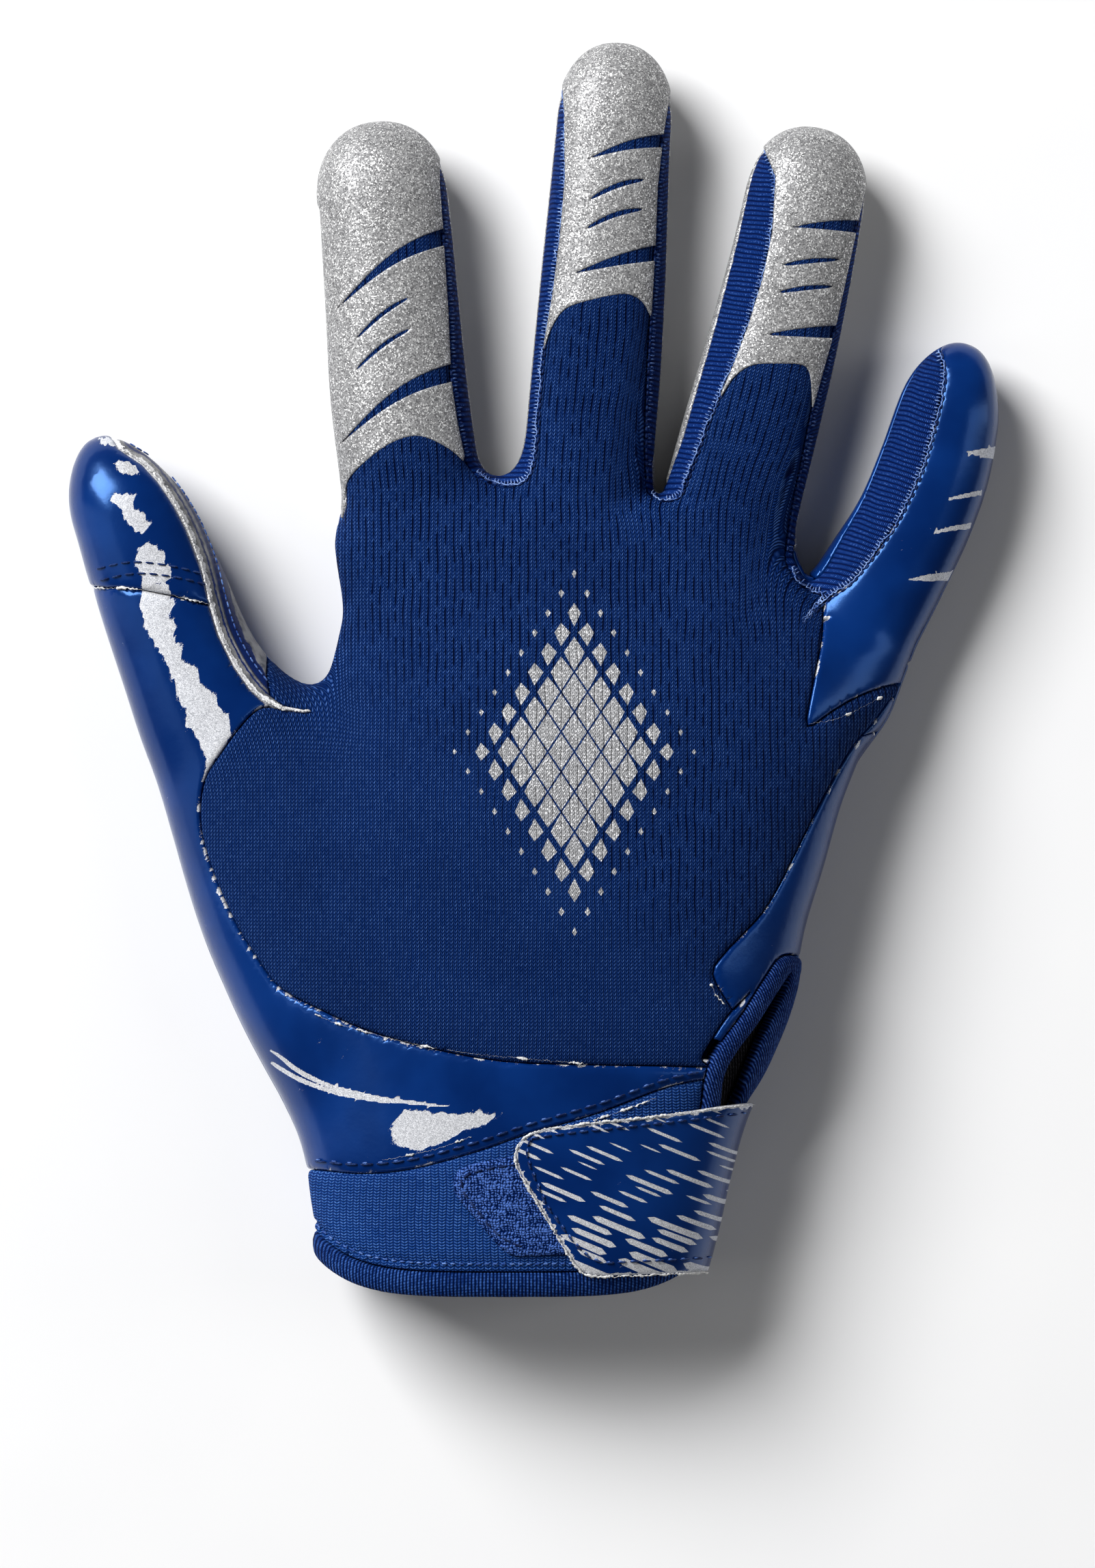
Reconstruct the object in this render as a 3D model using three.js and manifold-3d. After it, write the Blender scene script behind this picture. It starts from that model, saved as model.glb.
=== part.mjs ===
// A right-hand football receiver glove, lying palm down on a flat surface and keeping its worn form.
// It is sewn from thin panels round a hollow for the hand: a knitted back, a glossy palm that wraps the thumb
// and the little finger, side strips between the fingers, silver finger caps, and an elastic cuff with a wrist
// strap. Millimetres, +X towards the little finger, +Y towards the fingertips, +Z up. The origin ends up at the
// centre of the underside.

import * as THREE from "three";
import { mergeVertices } from "three/addons/utils/BufferGeometryUtils.js";
import Module from "manifold-3d";

const wasm = await Module();
wasm.setup();

// Hand
const PALM_LENGTH = 121.2; // wrist seam to the web beside the middle finger
const PALM_HALF_WIDTH = 55;
const PALM_THICKNESS = 34;
const CUFF_LENGTH = 22.2;
const CUFF_BOW = 4.4; // how far the cuff's edge dips at its middle

// Fingers: length from the knuckle, width and thickness where each is fullest
const INDEX_LENGTH = 73.4;
const INDEX_WIDTH = 24.8;
const INDEX_THICKNESS = 19.4;
const MIDDLE_LENGTH = 87.3;
const MIDDLE_WIDTH = 23.4;
const MIDDLE_THICKNESS = 19;
const RING_LENGTH = 81;
const RING_WIDTH = 24.4;
const RING_THICKNESS = 19;
const LITTLE_LENGTH = 63.9;
const LITTLE_WIDTH = 24;
const LITTLE_THICKNESS = 17.6;
const THUMB_LENGTH = 69.9;
const THUMB_WIDTH = 28;
const THUMB_THICKNESS = 23.5;

// How far each finger leans towards the little finger's side, in degrees
const INDEX_LEAN = -3.1;
const MIDDLE_LEAN = 3.5;
const RING_LEAN = 10.2;
const LITTLE_LEAN = 19.8;
const THUMB_LEAN = -19.6;

// Cloth and film
const WALL = 1.6; // sewn panels
const SEAM_GAP = 0.3; // between one panel and the next
const CAP_FILM = 0.6; // silver finger caps
const SLIT_WIDTH = 3.2; // the widest slits in them
const PAD_THICKNESS = 0.6; // loop pad on the cuff
const STRAP_THICKNESS = 1;
const TONGUE_THICKNESS = 1; // dark cloth behind the vent
const BINDING_WIDTH = 4.4; // elastic binding round the cuff's edge
const BINDING_SWELL = 0.4; // how much thicker the bindings are than the panels, each side
const VENT_BINDING_WIDTH = 3.2;
const DART_WIDTH = 0.9; // flex slit in the wrist wrap
const FLATTEN = 0.5; // how much of the underside is pressed flat by the surface
const STRAP_REACH = 8; // how far the strap runs down the side, below the seam

// Shape of the sections: 2 is an ellipse, and more is squarer. The seam's height is a share of the thickness.
const TOP_SQUARENESS = 2.3;
const UNDER_SQUARENESS = 3;
const FINGER_SEAM = 0.47;

// Facets round a finger and round the palm, and the shortest edge that a cut may leave
const FINGER_SIDES = 12;
const TRUNK_SIDES = 22;
const FINEST = 0.05;

// Cutters reach well past the glove
const BELOW = -PALM_THICKNESS;
const ABOVE = 3 * PALM_THICKNESS;

/** Gives each row of a table the names of its columns. */
function table(columns, rows) {
  const names = columns.split(" ");
  return rows.map((row) => Object.fromEntries(names.map((name, i) => [name, row[i]])));
}

// The trunk's sections. left, right: shares of PALM_HALF_WIDTH; top, seam: shares of PALM_THICKNESS.
// along is a share of CUFF_LENGTH in the cuff, and of PALM_LENGTH in the palm.
const TRUNK_COLUMNS = "along left right top seam";
const cuffSections = table(TRUNK_COLUMNS, [
  [0, -0.67, 0.49, 0.94, 0.46],
  [0.22, -0.69, 0.51, 0.97, 0.47],
  [0.6, -0.705, 0.545, 0.98, 0.47],
  [1, -0.73, 0.58, 0.99, 0.465],
]);
const palmSections = table(TRUNK_COLUMNS, [
  [0.09, -0.765, 0.64, 1, 0.46],
  [0.16, -0.82, 0.73, 1.01, 0.45],
  [0.25, -0.921, 0.81, 1.01, 0.44],
  [0.35, -1.022, 0.85, 1.01, 0.42],
  [0.44, -1.113, 0.91, 0.99, 0.4],
  [0.534, -1.2, 0.973, 0.96, 0.38],
  [0.607, -1.245, 1.038, 0.92, 0.36],
  [0.67, -0.722, 1.09, 0.88, 0.345],
  [0.72, -0.676, 1.08, 0.84, 0.335],
  [0.787, -0.633, 1, 0.78, 0.32],
  [0.845, -0.61, 0.9, 0.72, 0.305],
  [0.91, -0.607, 0.82, 0.66, 0.29],
  [0.965, -0.6, 0.82, 0.58, 0.275],
  [0.995, -0.57, 0.79, 0.44, 0.26],
]);

// A finger's sections. along: share of its length; sway, half: shares of its half width; deep: share of its
// thickness.
const FINGER_COLUMNS = "along sway half deep";
const fingers = {
  index: {
    length: INDEX_LENGTH,
    halfWidth: INDEX_WIDTH / 2,
    thickness: INDEX_THICKNESS,
    lean: INDEX_LEAN,
    root: [-0.424, 0.914],
    sections: table(FINGER_COLUMNS, [
      [-0.16, 0.25, 0.8, 0.74],
      [0, 0.2, 1.02, 1],
      [0.15, 0.13, 1, 1],
      [0.35, 0.04, 0.99, 0.98],
      [0.58, 0.005, 0.955, 0.95],
      [0.78, -0.02, 0.925, 0.92],
      [0.9, -0.045, 0.83, 0.82],
      [0.965, -0.05, 0.58, 0.58],
      [0.992, -0.05, 0.25, 0.26],
      [1, -0.05, 0, 0],
    ]),
  },
  middle: {
    length: MIDDLE_LENGTH,
    halfWidth: MIDDLE_WIDTH / 2,
    thickness: MIDDLE_THICKNESS,
    lean: MIDDLE_LEAN,
    root: [0.166, 0.914],
    sections: table(FINGER_COLUMNS, [
      [-0.16, -0.03, 0.8, 0.74],
      [0, -0.05, 1.04, 1],
      [0.15, -0.07, 0.99, 1],
      [0.35, -0.04, 0.975, 0.98],
      [0.58, -0.02, 0.935, 0.95],
      [0.78, -0.01, 0.88, 0.92],
      [0.9, 0, 0.8, 0.82],
      [0.965, -0.01, 0.59, 0.58],
      [0.992, 0, 0.26, 0.26],
      [1, 0, 0, 0],
    ]),
  },
  ring: {
    length: RING_LENGTH,
    halfWidth: RING_WIDTH / 2,
    thickness: RING_THICKNESS,
    lean: RING_LEAN,
    root: [0.598, 0.855],
    sections: table(FINGER_COLUMNS, [
      [-0.16, -0.16, 0.8, 0.74],
      [0, -0.14, 1.03, 1],
      [0.15, -0.1, 1, 1],
      [0.35, 0, 0.975, 0.98],
      [0.58, 0.11, 0.93, 0.95],
      [0.78, 0.165, 0.88, 0.92],
      [0.9, 0.178, 0.79, 0.82],
      [0.965, 0.175, 0.57, 0.58],
      [0.992, 0.17, 0.26, 0.26],
      [1, 0.17, 0, 0],
    ]),
  },
  little: {
    length: LITTLE_LENGTH,
    halfWidth: LITTLE_WIDTH / 2,
    thickness: LITTLE_THICKNESS,
    lean: LITTLE_LEAN,
    root: [0.969, 0.706],
    sections: table(FINGER_COLUMNS, [
      [-0.18, -0.4, 0.8, 0.72],
      [0, -0.24, 1.01, 1],
      [0.15, -0.1, 0.97, 1],
      [0.35, 0.09, 0.905, 0.97],
      [0.55, 0.225, 0.84, 0.94],
      [0.75, 0.2, 0.79, 0.89],
      [0.88, 0.13, 0.65, 0.78],
      [0.95, 0.1, 0.43, 0.54],
      [0.988, 0.1, 0.19, 0.24],
      [1, 0.1, 0, 0],
    ]),
  },
  thumb: {
    length: THUMB_LENGTH,
    halfWidth: THUMB_WIDTH / 2,
    thickness: THUMB_THICKNESS,
    lean: THUMB_LEAN,
    root: [-0.962, 0.518],
    sections: table(FINGER_COLUMNS, [
      [-0.25, 0.4, 0.8, 0.74],
      [0, 0.28, 1.07, 1.05],
      [0.12, 0.24, 1.04, 1],
      [0.25, 0.14, 0.95, 0.96],
      [0.38, 0.07, 0.86, 0.92],
      [0.6, 0.05, 0.81, 0.87],
      [0.76, 0.03, 0.74, 0.8],
      [0.88, -0.03, 0.56, 0.68],
      [0.95, -0.06, 0.37, 0.47],
      [0.988, -0.06, 0.18, 0.24],
      [1, -0.06, 0, 0],
    ]),
  },
};

/** A point of the plan from shares of the palm: across from its middle line, along from the wrist seam. */
function onPalm(across, along) {
  return new THREE.Vector2(across * PALM_HALF_WIDTH, CUFF_LENGTH + along * PALM_LENGTH);
}

/** Points of the plan from rows of across and along. */
function palmLine(rows) {
  return rows.map(([across, along]) => onPalm(across, along));
}

/** A stretch of the plan from rows of along and across on a finger. */
function fingerLine(finger, rows) {
  return rows.map(([along, across]) => onFinger(finger, along, across));
}

/** The value of a table's column at a place along it, straight between rows. */
function between(rows, column, along) {
  const last = rows.length - 1;
  if (along <= rows[0].along) return rows[0][column];
  if (along >= rows[last].along) return rows[last][column];
  const i = rows.findIndex((row) => row.along > along);
  const [a, b] = [rows[i - 1], rows[i]];
  return a[column] + ((b[column] - a[column]) * (along - a.along)) / (b.along - a.along);
}

/** A finger's own axes in plan: its root, the way it points and the way to its right. */
function fingerAxes(finger) {
  const lean = THREE.MathUtils.degToRad(finger.lean);
  return {
    root: onPalm(...finger.root),
    ahead: new THREE.Vector2(Math.sin(lean), Math.cos(lean)),
    right: new THREE.Vector2(Math.cos(lean), -Math.sin(lean)),
  };
}

/** A point of the plan on a finger: along is a share of its length, across runs from -1, the left, to 1. */
function onFinger(finger, along, across) {
  const FULL_TO = 0.95; // past this the fingertip is rounded off, and borders keep its last full width
  const { root, ahead, right } = fingerAxes(finger);
  const place = Math.min(along, FULL_TO);
  const half = between(finger.sections, "half", place);
  const sway = between(finger.sections, "sway", place);
  return root
    .clone()
    .addScaledVector(ahead, along * finger.length)
    .addScaledVector(right, (sway + across * half) * finger.halfWidth);
}

/** How far a finger's seam stands above the surface. */
function seamHeight(finger) {
  return finger.thickness * FINGER_SEAM;
}

/** A closed rounded section across the plan direction right, with a fuller top and a flatter underside. */
function section({ centre, right, half, seam, up, down, sag = 0 }, grow, sides) {
  const points = [];
  for (let i = 0; i < sides; i++) {
    const angle = (2 * Math.PI * i) / sides;
    const [c, s] = [Math.cos(angle), Math.sin(angle)];
    const power = 2 / (s > 0 ? TOP_SQUARENESS : UNDER_SQUARENESS);
    const across = Math.sign(c) * Math.abs(c) ** power;
    const height = Math.sign(s) * Math.abs(s) ** power;
    const reach = across * (half + grow);
    points.push(
      new THREE.Vector3(
        centre.x + right.x * reach,
        centre.y + right.y * reach - sag * (1 - across * across),
        seam + height * ((s > 0 ? up : down) + grow),
      ),
    );
  }
  return points;
}

/** Turns a closed geometry into a solid, its faces pointing out. */
function solidOf(geometry) {
  const bare = geometry.clone();
  bare.deleteAttribute("normal");
  bare.deleteAttribute("uv");
  const merged = mergeVertices(bare, 1e-4);
  return new wasm.Manifold(
    new wasm.Mesh({
      numProp: 3,
      vertProperties: merged.attributes.position.array,
      triVerts: new Uint32Array(merged.index.array),
      tolerance: FINEST,
    }),
  );
}

/** Joins equal sections into a closed skin, each end drawn to a point of its own. */
function loft(rings, startPoint, endPoint) {
  const sides = rings[0].length;
  const vertices = [...rings.flat(), startPoint, endPoint];
  const start = vertices.length - 2;
  const end = vertices.length - 1;
  const faces = [];
  for (let i = 0; i < sides; i++) {
    const next = (i + 1) % sides;
    faces.push(start, i, next);
    for (let r = 0; r + 1 < rings.length; r++) {
      const [a, b] = [r * sides, (r + 1) * sides];
      faces.push(a + i, b + i, a + next, a + next, b + i, b + next);
    }
    const top = (rings.length - 1) * sides;
    faces.push(end, top + next, top + i);
  }
  const geometry = new THREE.BufferGeometry();
  const places = vertices.flatMap((v) => v.toArray());
  geometry.setAttribute("position", new THREE.Float32BufferAttribute(places, 3));
  geometry.setIndex(faces);
  return solidOf(geometry);
}

/** The middle of a ring of points. */
function middleOf(ring) {
  return ring.reduce((sum, p) => sum.add(p), new THREE.Vector3()).divideScalar(ring.length);
}

/** One finger, grown outwards by so much, or shrunk if that is negative. */
function fingerSolid(finger, grow) {
  const { root, ahead, right } = fingerAxes(finger);
  const seam = seamHeight(finger);
  const rows = finger.sections;
  const at = ({ along, sway }) =>
    root
      .clone()
      .addScaledVector(ahead, along * (finger.length + grow))
      .addScaledVector(right, sway * finger.halfWidth);
  const rings = rows.slice(0, -1).map((row) => {
    const size = {
      centre: at(row),
      right,
      half: row.half * finger.halfWidth,
      seam,
      up: (finger.thickness - seam) * row.deep,
      down: (seam + FLATTEN) * Math.min(row.deep, 1),
    };
    return section(size, grow, FINGER_SIDES);
  });
  const tip = at(rows.at(-1));
  return loft(rings, middleOf(rings[0]), new THREE.Vector3(tip.x, tip.y, seam));
}

/** The trunk's rows with their real places along the glove, its far end grown by so much. */
function trunkRows(grow = 0) {
  const cuff = cuffSections.map((row) => ({ ...row, y: row.along * CUFF_LENGTH, inCuff: 1 - row.along }));
  const palmReach = PALM_LENGTH + grow;
  const palm = palmSections.map((row) => ({ ...row, y: CUFF_LENGTH + row.along * palmReach, inCuff: 0 }));
  return [...cuff, ...palm];
}

/** The cuff and palm in one, grown by so much. A hollow runs on past the cuff's edge, so that it stays open. */
function trunkSolid(grow, isHollow) {
  const rings = trunkRows(grow).map((row) => {
    const size = {
      centre: new THREE.Vector2(((row.left + row.right) / 2) * PALM_HALF_WIDTH, row.y),
      right: new THREE.Vector2(1, 0),
      half: ((row.right - row.left) / 2) * PALM_HALF_WIDTH,
      seam: row.seam * PALM_THICKNESS,
      up: (row.top - row.seam) * PALM_THICKNESS,
      down: row.seam * PALM_THICKNESS + FLATTEN,
      sag: row.inCuff * CUFF_BOW,
    };
    return section(size, grow, TRUNK_SIDES);
  });
  if (isHollow) rings.unshift(rings[0].map((p) => new THREE.Vector3(p.x, p.y - CUFF_LENGTH, p.z)));
  return loft(rings, middleOf(rings[0]), middleOf(rings.at(-1)));
}

/** The whole hand form, grown by so much and pressed flat underneath. */
function handSolid(grow, isHollow = false) {
  const lobes = Object.values(fingers).map((finger) => fingerSolid(finger, grow));
  return lobes.reduce((hand, lobe) => hand.add(lobe), trunkSolid(grow, isHollow));
}

/** A polygon of the plan, moved outwards by so much. */
function grown(points, distance) {
  const sign = THREE.ShapeUtils.area(points) > 0 ? 1 : -1;
  return points.map((p, i) => {
    const before = points.at(i - 1);
    const after = points[(i + 1) % points.length];
    const inward = p.clone().sub(before).normalize();
    const outward = after.clone().sub(p).normalize();
    const along = inward.clone().add(outward).normalize();
    const reach = (sign * distance) / Math.max(along.dot(outward), 0.5);
    return new THREE.Vector2(p.x + along.y * reach, p.y - along.x * reach);
  });
}

/** An upright prism over a polygon of the plan, from one height to another. */
function prism(points, low = BELOW, high = ABOVE) {
  const shape = new THREE.Shape(points);
  const geometry = new THREE.ExtrudeGeometry(shape, { depth: high - low, bevelEnabled: false });
  geometry.translate(0, 0, low);
  return solidOf(geometry);
}

/** A smooth line through points of the plan, with so many steps between two of them. */
function smooth(points, steps = 2) {
  return new THREE.SplineCurve(points).getPoints((points.length - 1) * steps);
}

/** The larger body of a solid: a cut can shave slivers off beside it. */
function largest(solid) {
  const bodies = solid.decompose();
  return bodies.reduce((best, body) => (body.volume() > best.volume() ? body : best));
}

/** The space above the seam that parts the back from the palm. It follows the seam's own height. */
function aboveSeam(offset) {
  const rows = trunkRows();
  const fingerSeam = seamHeight(fingers.middle);
  const [start, end] = [-CUFF_LENGTH, CUFF_LENGTH + PALM_LENGTH + 2 * MIDDLE_LENGTH];
  const seamLine = [
    [start, rows[0].seam * PALM_THICKNESS],
    ...rows.map((row) => [row.y, Math.max(row.seam * PALM_THICKNESS, fingerSeam)]),
    [end, fingerSeam],
  ];
  // Drawn in the plane of length and height, then pulled out across the glove
  const outline = seamLine.map(([y, z]) => new THREE.Vector2(y, z + offset));
  outline.push(new THREE.Vector2(end, ABOVE), new THREE.Vector2(start, ABOVE));
  const across = 4 * PALM_HALF_WIDTH;
  const shape = new THREE.Shape(outline);
  const geometry = new THREE.ExtrudeGeometry(shape, { depth: across, bevelEnabled: false });
  const [x, y, z] = [new THREE.Vector3(1, 0, 0), new THREE.Vector3(0, 1, 0), new THREE.Vector3(0, 0, 1)];
  geometry.applyMatrix4(new THREE.Matrix4().makeBasis(y, z, x));
  geometry.translate(-across / 2, 0, 0);
  return solidOf(geometry);
}

const { index, middle, ring, little, thumb } = fingers;

// Borders of the panels in plan, as the seams run
const wristSeam = smooth(
  palmLine([
    [-0.9, 0.0],
    [-0.724, 0.0],
    [-0.569, -0.006],
    [-0.401, 0.001],
    [-0.194, 0.026],
    [0.203, 0.083],
    [0.524, 0.129],
    [0.75, 0.14],
  ]),
);
const wrapEdge = smooth(
  palmLine([
    [0.524, 0.144],
    [0.153, 0.152],
    [-0.109, 0.157],
    [-0.353, 0.177],
    [-0.62, 0.214],
    [-0.82, 0.261],
    [-0.977, 0.365],
    [-1.07, 0.47],
    [-1.075, 0.55],
    [-1.021, 0.598],
    [-0.873, 0.675],
    [-0.76, 0.668],
  ]),
);
const ventBindingEdge = palmLine([
  [0.829, 0.315],
  [0.685, 0.257],
  [0.613, 0.223],
  [0.554, 0.182],
  [0.53, 0.16],
]);
const ventMouth = [
  ...smooth(
    [
      [0.81, 0.285],
      [0.705, 0.214],
      [0.641, 0.175],
      [0.596, 0.135],
      [0.58, 0.072],
    ].map((p) => onPalm(...p)),
  ),
  onPalm(0.5, -0.22),
  onPalm(0.57, -0.22),
  onPalm(0.631, 0.06),
  onPalm(0.66, 0.11),
  onPalm(0.72, 0.176),
  onPalm(0.79, 0.24),
];
const sideStripEdge = palmLine([
  [1.3, 0.7],
  [1.16, 0.69],
  [1.006, 0.608],
  [0.912, 0.533],
  [0.84, 0.468],
  [0.722, 0.371],
  [0.602, 0.313],
  [0.565, 0.283],
  [0.625, 0.235],
  [0.613, 0.223],
]);
const littleWrapEdge = palmLine([
  [0.916, 0.786],
  [0.903, 0.743],
  [0.868, 0.643],
  [0.947, 0.665],
  [1.034, 0.687],
  [1.15, 0.703],
]);

// The back panel's border up one side of each finger: along and across the finger
const indexLeft = [
  [0.05, -1.3],
  [0.08, -0.93],
  [0.5, -0.93],
  [0.85, -0.9],
  [0.97, -0.85],
  [1.08, -0.5],
];
const indexRight = [
  [1.08, 0.6],
  [0.96, 0.98],
  [0.9, 0.92],
  [0.739, 0.86],
  [0.539, 0.82],
  [0.351, 0.77],
  [0.192, 0.76],
  [0.07, 0.8],
];
const middleLeft = [
  [0.06, -0.8],
  [0.16, -0.78],
  [0.3, -0.84],
  [0.43, -0.82],
  [0.55, -0.75],
  [0.724, -0.76],
  [0.853, -0.86],
  [0.95, -0.98],
  [1.08, -0.6],
];
const middleRight = [
  [1.08, 0.6],
  [0.95, 0.98],
  [0.828, 0.86],
  [0.717, 0.79],
  [0.463, 0.79],
  [0.318, 0.79],
  [0.17, 0.79],
  [0.07, 0.78],
];
const ringLeft = [
  [0.09, -0.82],
  [0.17, -0.75],
  [0.271, -0.67],
  [0.398, -0.57],
  [0.5, -0.48],
  [0.658, -0.41],
  [0.78, -0.45],
  [0.88, -0.56],
  [0.96, -0.95],
  [1.08, -0.6],
];
const ringRight = [
  [1.08, 0.6],
  [0.95, 0.98],
  [0.828, 0.92],
  [0.581, 0.88],
  [0.44, 0.82],
  [0.283, 0.82],
  [0.15, 0.8],
];
const littleLeft = [
  [0.235, -0.52],
  [0.3, -0.35],
  [0.42, -0.28],
  [0.628, -0.21],
  [0.8, -0.23],
  [0.9, -0.34],
  [0.96, -0.7],
  [1.1, -0.9],
];
const thumbRight = [
  [1.1, 0.2],
  [0.96, 0.4],
  [0.9, 0.68],
  [0.78, 0.74],
  [0.611, 0.72],
  [0.5, 0.62],
  [0.35, 0.59],
  [0.243, 0.68],
  [0.19, 0.82],
  [0.14, 1.1],
];

const thumbTip = [
  [0.655, -1.5],
  [0.64, -1],
  [0.631, -0.6],
  [0.6, -0.2],
  [0.56, 0.2],
  [0.5, 0.7],
  [0.5, 1.5],
  [1.2, 1.5],
  [1.2, -1.5],
];

const backOutline = [
  ...ventBindingEdge.slice(2),
  ...wrapEdge,
  onPalm(-0.85, 0.69),
  onPalm(-0.85, 0.8),
  onPalm(-0.85, 0.92),
  ...fingerLine(index, indexLeft),
  ...fingerLine(index, indexRight),
  onPalm(-0.107, 0.965),
  ...fingerLine(middle, middleLeft),
  ...fingerLine(middle, middleRight),
  onPalm(0.39, 0.95),
  ...fingerLine(ring, ringLeft),
  ...fingerLine(ring, ringRight),
  onPalm(0.79, 0.86),
  onPalm(0.85, 0.815),
  ...littleWrapEdge,
  ...sideStripEdge.slice(0, -1),
];

/** The plan between two neighbouring fingers, out past their tips and down to the web. */
function betweenFingers(left, right, web) {
  const leftSide = [onFinger(left, 0.05, 0.3), onFinger(left, 1.15, 0.3)];
  const rightSide = [onFinger(right, 1.15, -0.1), onFinger(right, 0.05, -0.1)];
  return [...leftSide, ...rightSide, web];
}

// Outlines close well outside the glove: so many half widths of the palm, or of the thumb, from its middle.
const OUTSIDE = 1.4;
const CLEAR_OF_THUMB = 2.6;

// The back's panels in the order in which they are cut. What is left over is the wrap from thumb to wrist.
const panelOutlines = {
  back_panel: backOutline,
  fourchette_index_middle: betweenFingers(index, middle, onPalm(-0.107, 0.93)),
  fourchette_middle_ring: betweenFingers(middle, ring, onPalm(0.39, 0.91)),
  fourchette_ring_little: [
    ...fingerLine(little, littleLeft),
    ...fingerLine(ring, [[1.15, 0.3], [0.02, 0.3]]),
    ...palmLine([[0.8, 0.8], [0.93, 0.8]]),
  ],
  index_side: fingerLine(index, [[0.02, -2], [1.2, -2], [1.2, 0], [0.02, 0]]),
  little_wrap: [
    onPalm(0.8, 0.83),
    ...fingerLine(little, [[1.3, -1], [1.3, 2]]),
    ...palmLine([[1.5, 0.68], [0.8, 0.6]]),
  ],
  side_strip: palmLine([[0.5, 0.2], [0.5, 0.4], [0.8, 0.6], [1.5, 0.68], [OUTSIDE, 0.1], [0.8, 0.15]]),
  thumb_gusset: fingerLine(thumb, [...thumbRight, [0.14, CLEAR_OF_THUMB], [1.1, CLEAR_OF_THUMB]]),
  thumb_tip_cap: fingerLine(thumb, thumbTip),
};

// Below the seam the fingers' fronts are panels too. Each is sewn to the palm across its finger's root, from left
// to right just past the webs: along and across the finger.
const PAST_TIP = 1.25;
const frontRoots = {
  index: [[0.07, -1.4], [0.11, 1.25]],
  middle: [[0.1, -1.2], [0.1, 1.1]],
  ring: [[0.19, -1.1], [0.09, 1.15]],
  little: [[0.26, -1.1], [0.08, 1.5]],
  thumb: [[0.02, -1.4], [0.21, 1.25]],
};

// The silver caps. Each lower edge runs from left to right, along and across its finger.
// A slit runs from a tip to an end, bowed by a share of the finger's length, its width a share of SLIT_WIDTH.
// An open slit widens from its tip and runs out through the cap's edge.
const SLIT_COLUMNS = "tipAlong tipAcross endAlong endAcross bow width isOpen";
const caps = {
  index: {
    left: [[0.15, -1.35], [1.08, -1.35]],
    right: indexRight,
    lowerEdge: [
      [0.06, -1.3],
      [0.1, -0.98],
      [0.152, -0.87],
      [0.194, -0.57],
      [0.231, -0.21],
      [0.246, 0.14],
      [0.234, 0.38],
      [0.187, 0.74],
    ],
    slits: table(SLIT_COLUMNS, [
      [0.56, -0.79, 0.722, 0.95, 0.032, 1, true],
      [0.486, -0.55, 0.577, 0.26, 0.008, 0.22, false],
      [0.41, -0.59, 0.502, 0.24, 0.008, 0.22, false],
      [0.237, -0.88, 0.398, 0.95, 0.034, 1, true],
    ]),
  },
  middle: {
    left: middleLeft,
    right: middleRight,
    lowerEdge: [
      [0.388, -0.8],
      [0.422, -0.74],
      [0.461, -0.54],
      [0.483, -0.12],
      [0.498, 0.31],
      [0.492, 0.53],
      [0.463, 0.76],
    ],
    slits: table(SLIT_COLUMNS, [
      [0.765, -0.36, 0.81, 1, 0.01, 0.75, true],
      [0.683, -0.29, 0.729, 0.55, 0.01, 0.28, false],
      [0.624, -0.31, 0.67, 0.55, 0.01, 0.28, false],
      [0.533, -0.4, 0.59, 1, 0.004, 0.95, true],
    ]),
  },
  ring: {
    left: ringLeft,
    right: ringRight,
    lowerEdge: [
      [0.401, -0.54],
      [0.438, -0.45],
      [0.47, -0.21],
      [0.483, 0.17],
      [0.489, 0.52],
      [0.474, 0.64],
      [0.41, 0.79],
    ],
    slits: table(SLIT_COLUMNS, [
      [0.78, -0.09, 0.808, 1.05, 0.002, 0.75, true],
      [0.695, -0.11, 0.728, 0.71, 0.001, 0.25, false],
      [0.635, -0.08, 0.668, 0.69, 0.001, 0.25, false],
      [0.539, -0.14, 0.578, 1.05, 0, 0.7, true],
    ]),
  },
};

/** A thin blade of the plan along a line, widened to both sides by a width for each point. */
function blade(line, widths, sideways) {
  const upper = line.map((p, i) => p.clone().addScaledVector(sideways, widths[i] / 2));
  const lower = line.map((p, i) => p.clone().addScaledVector(sideways, -widths[i] / 2));
  return [...upper, ...lower.reverse()];
}

/** How full a blade is from 0, its tip, to 1. It is open at its end, or thin at both. */
function bladeFullness(t, isOpen) {
  const POINT = 0.04;
  return Math.max(isOpen ? 1 - (1 - t) ** 2 : Math.sin(Math.PI * t) ** 0.5, POINT);
}

/** A slit's outline in plan. */
function slitOutline(finger, slit) {
  const STEPS = 5;
  const shares = Array.from({ length: STEPS + 1 }, (_, i) => i / STEPS);
  const line = shares.map((t) => {
    const along = THREE.MathUtils.lerp(slit.tipAlong, slit.endAlong, t) + slit.bow * Math.sin(Math.PI * t);
    return onFinger(finger, along, THREE.MathUtils.lerp(slit.tipAcross, slit.endAcross, t));
  });
  const widths = shares.map((t) => SLIT_WIDTH * slit.width * bladeFullness(t, slit.isOpen));
  return blade(line, widths, fingerAxes(finger).ahead);
}

/** A silver cap's outline in plan: its lower edge, and the back panel's borders up to the fingertip. */
function capOutline(finger, { lowerEdge, left, right }) {
  const INSET = 0.02; // from the border, as a share of the half width
  const [lowLeft, lowRight] = [lowerEdge[0][0], lowerEdge.at(-1)[0]];
  const side = (border, low, inset) =>
    border.filter(([along]) => along > low).map(([along, across]) => [along, across + inset]);
  const leftSide = side(left, lowLeft, INSET);
  const rightSide = side(right, lowRight, -INSET);
  return fingerLine(finger, [...lowerEdge, ...rightSide.reverse(), ...leftSide.reverse()]);
}

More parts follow.
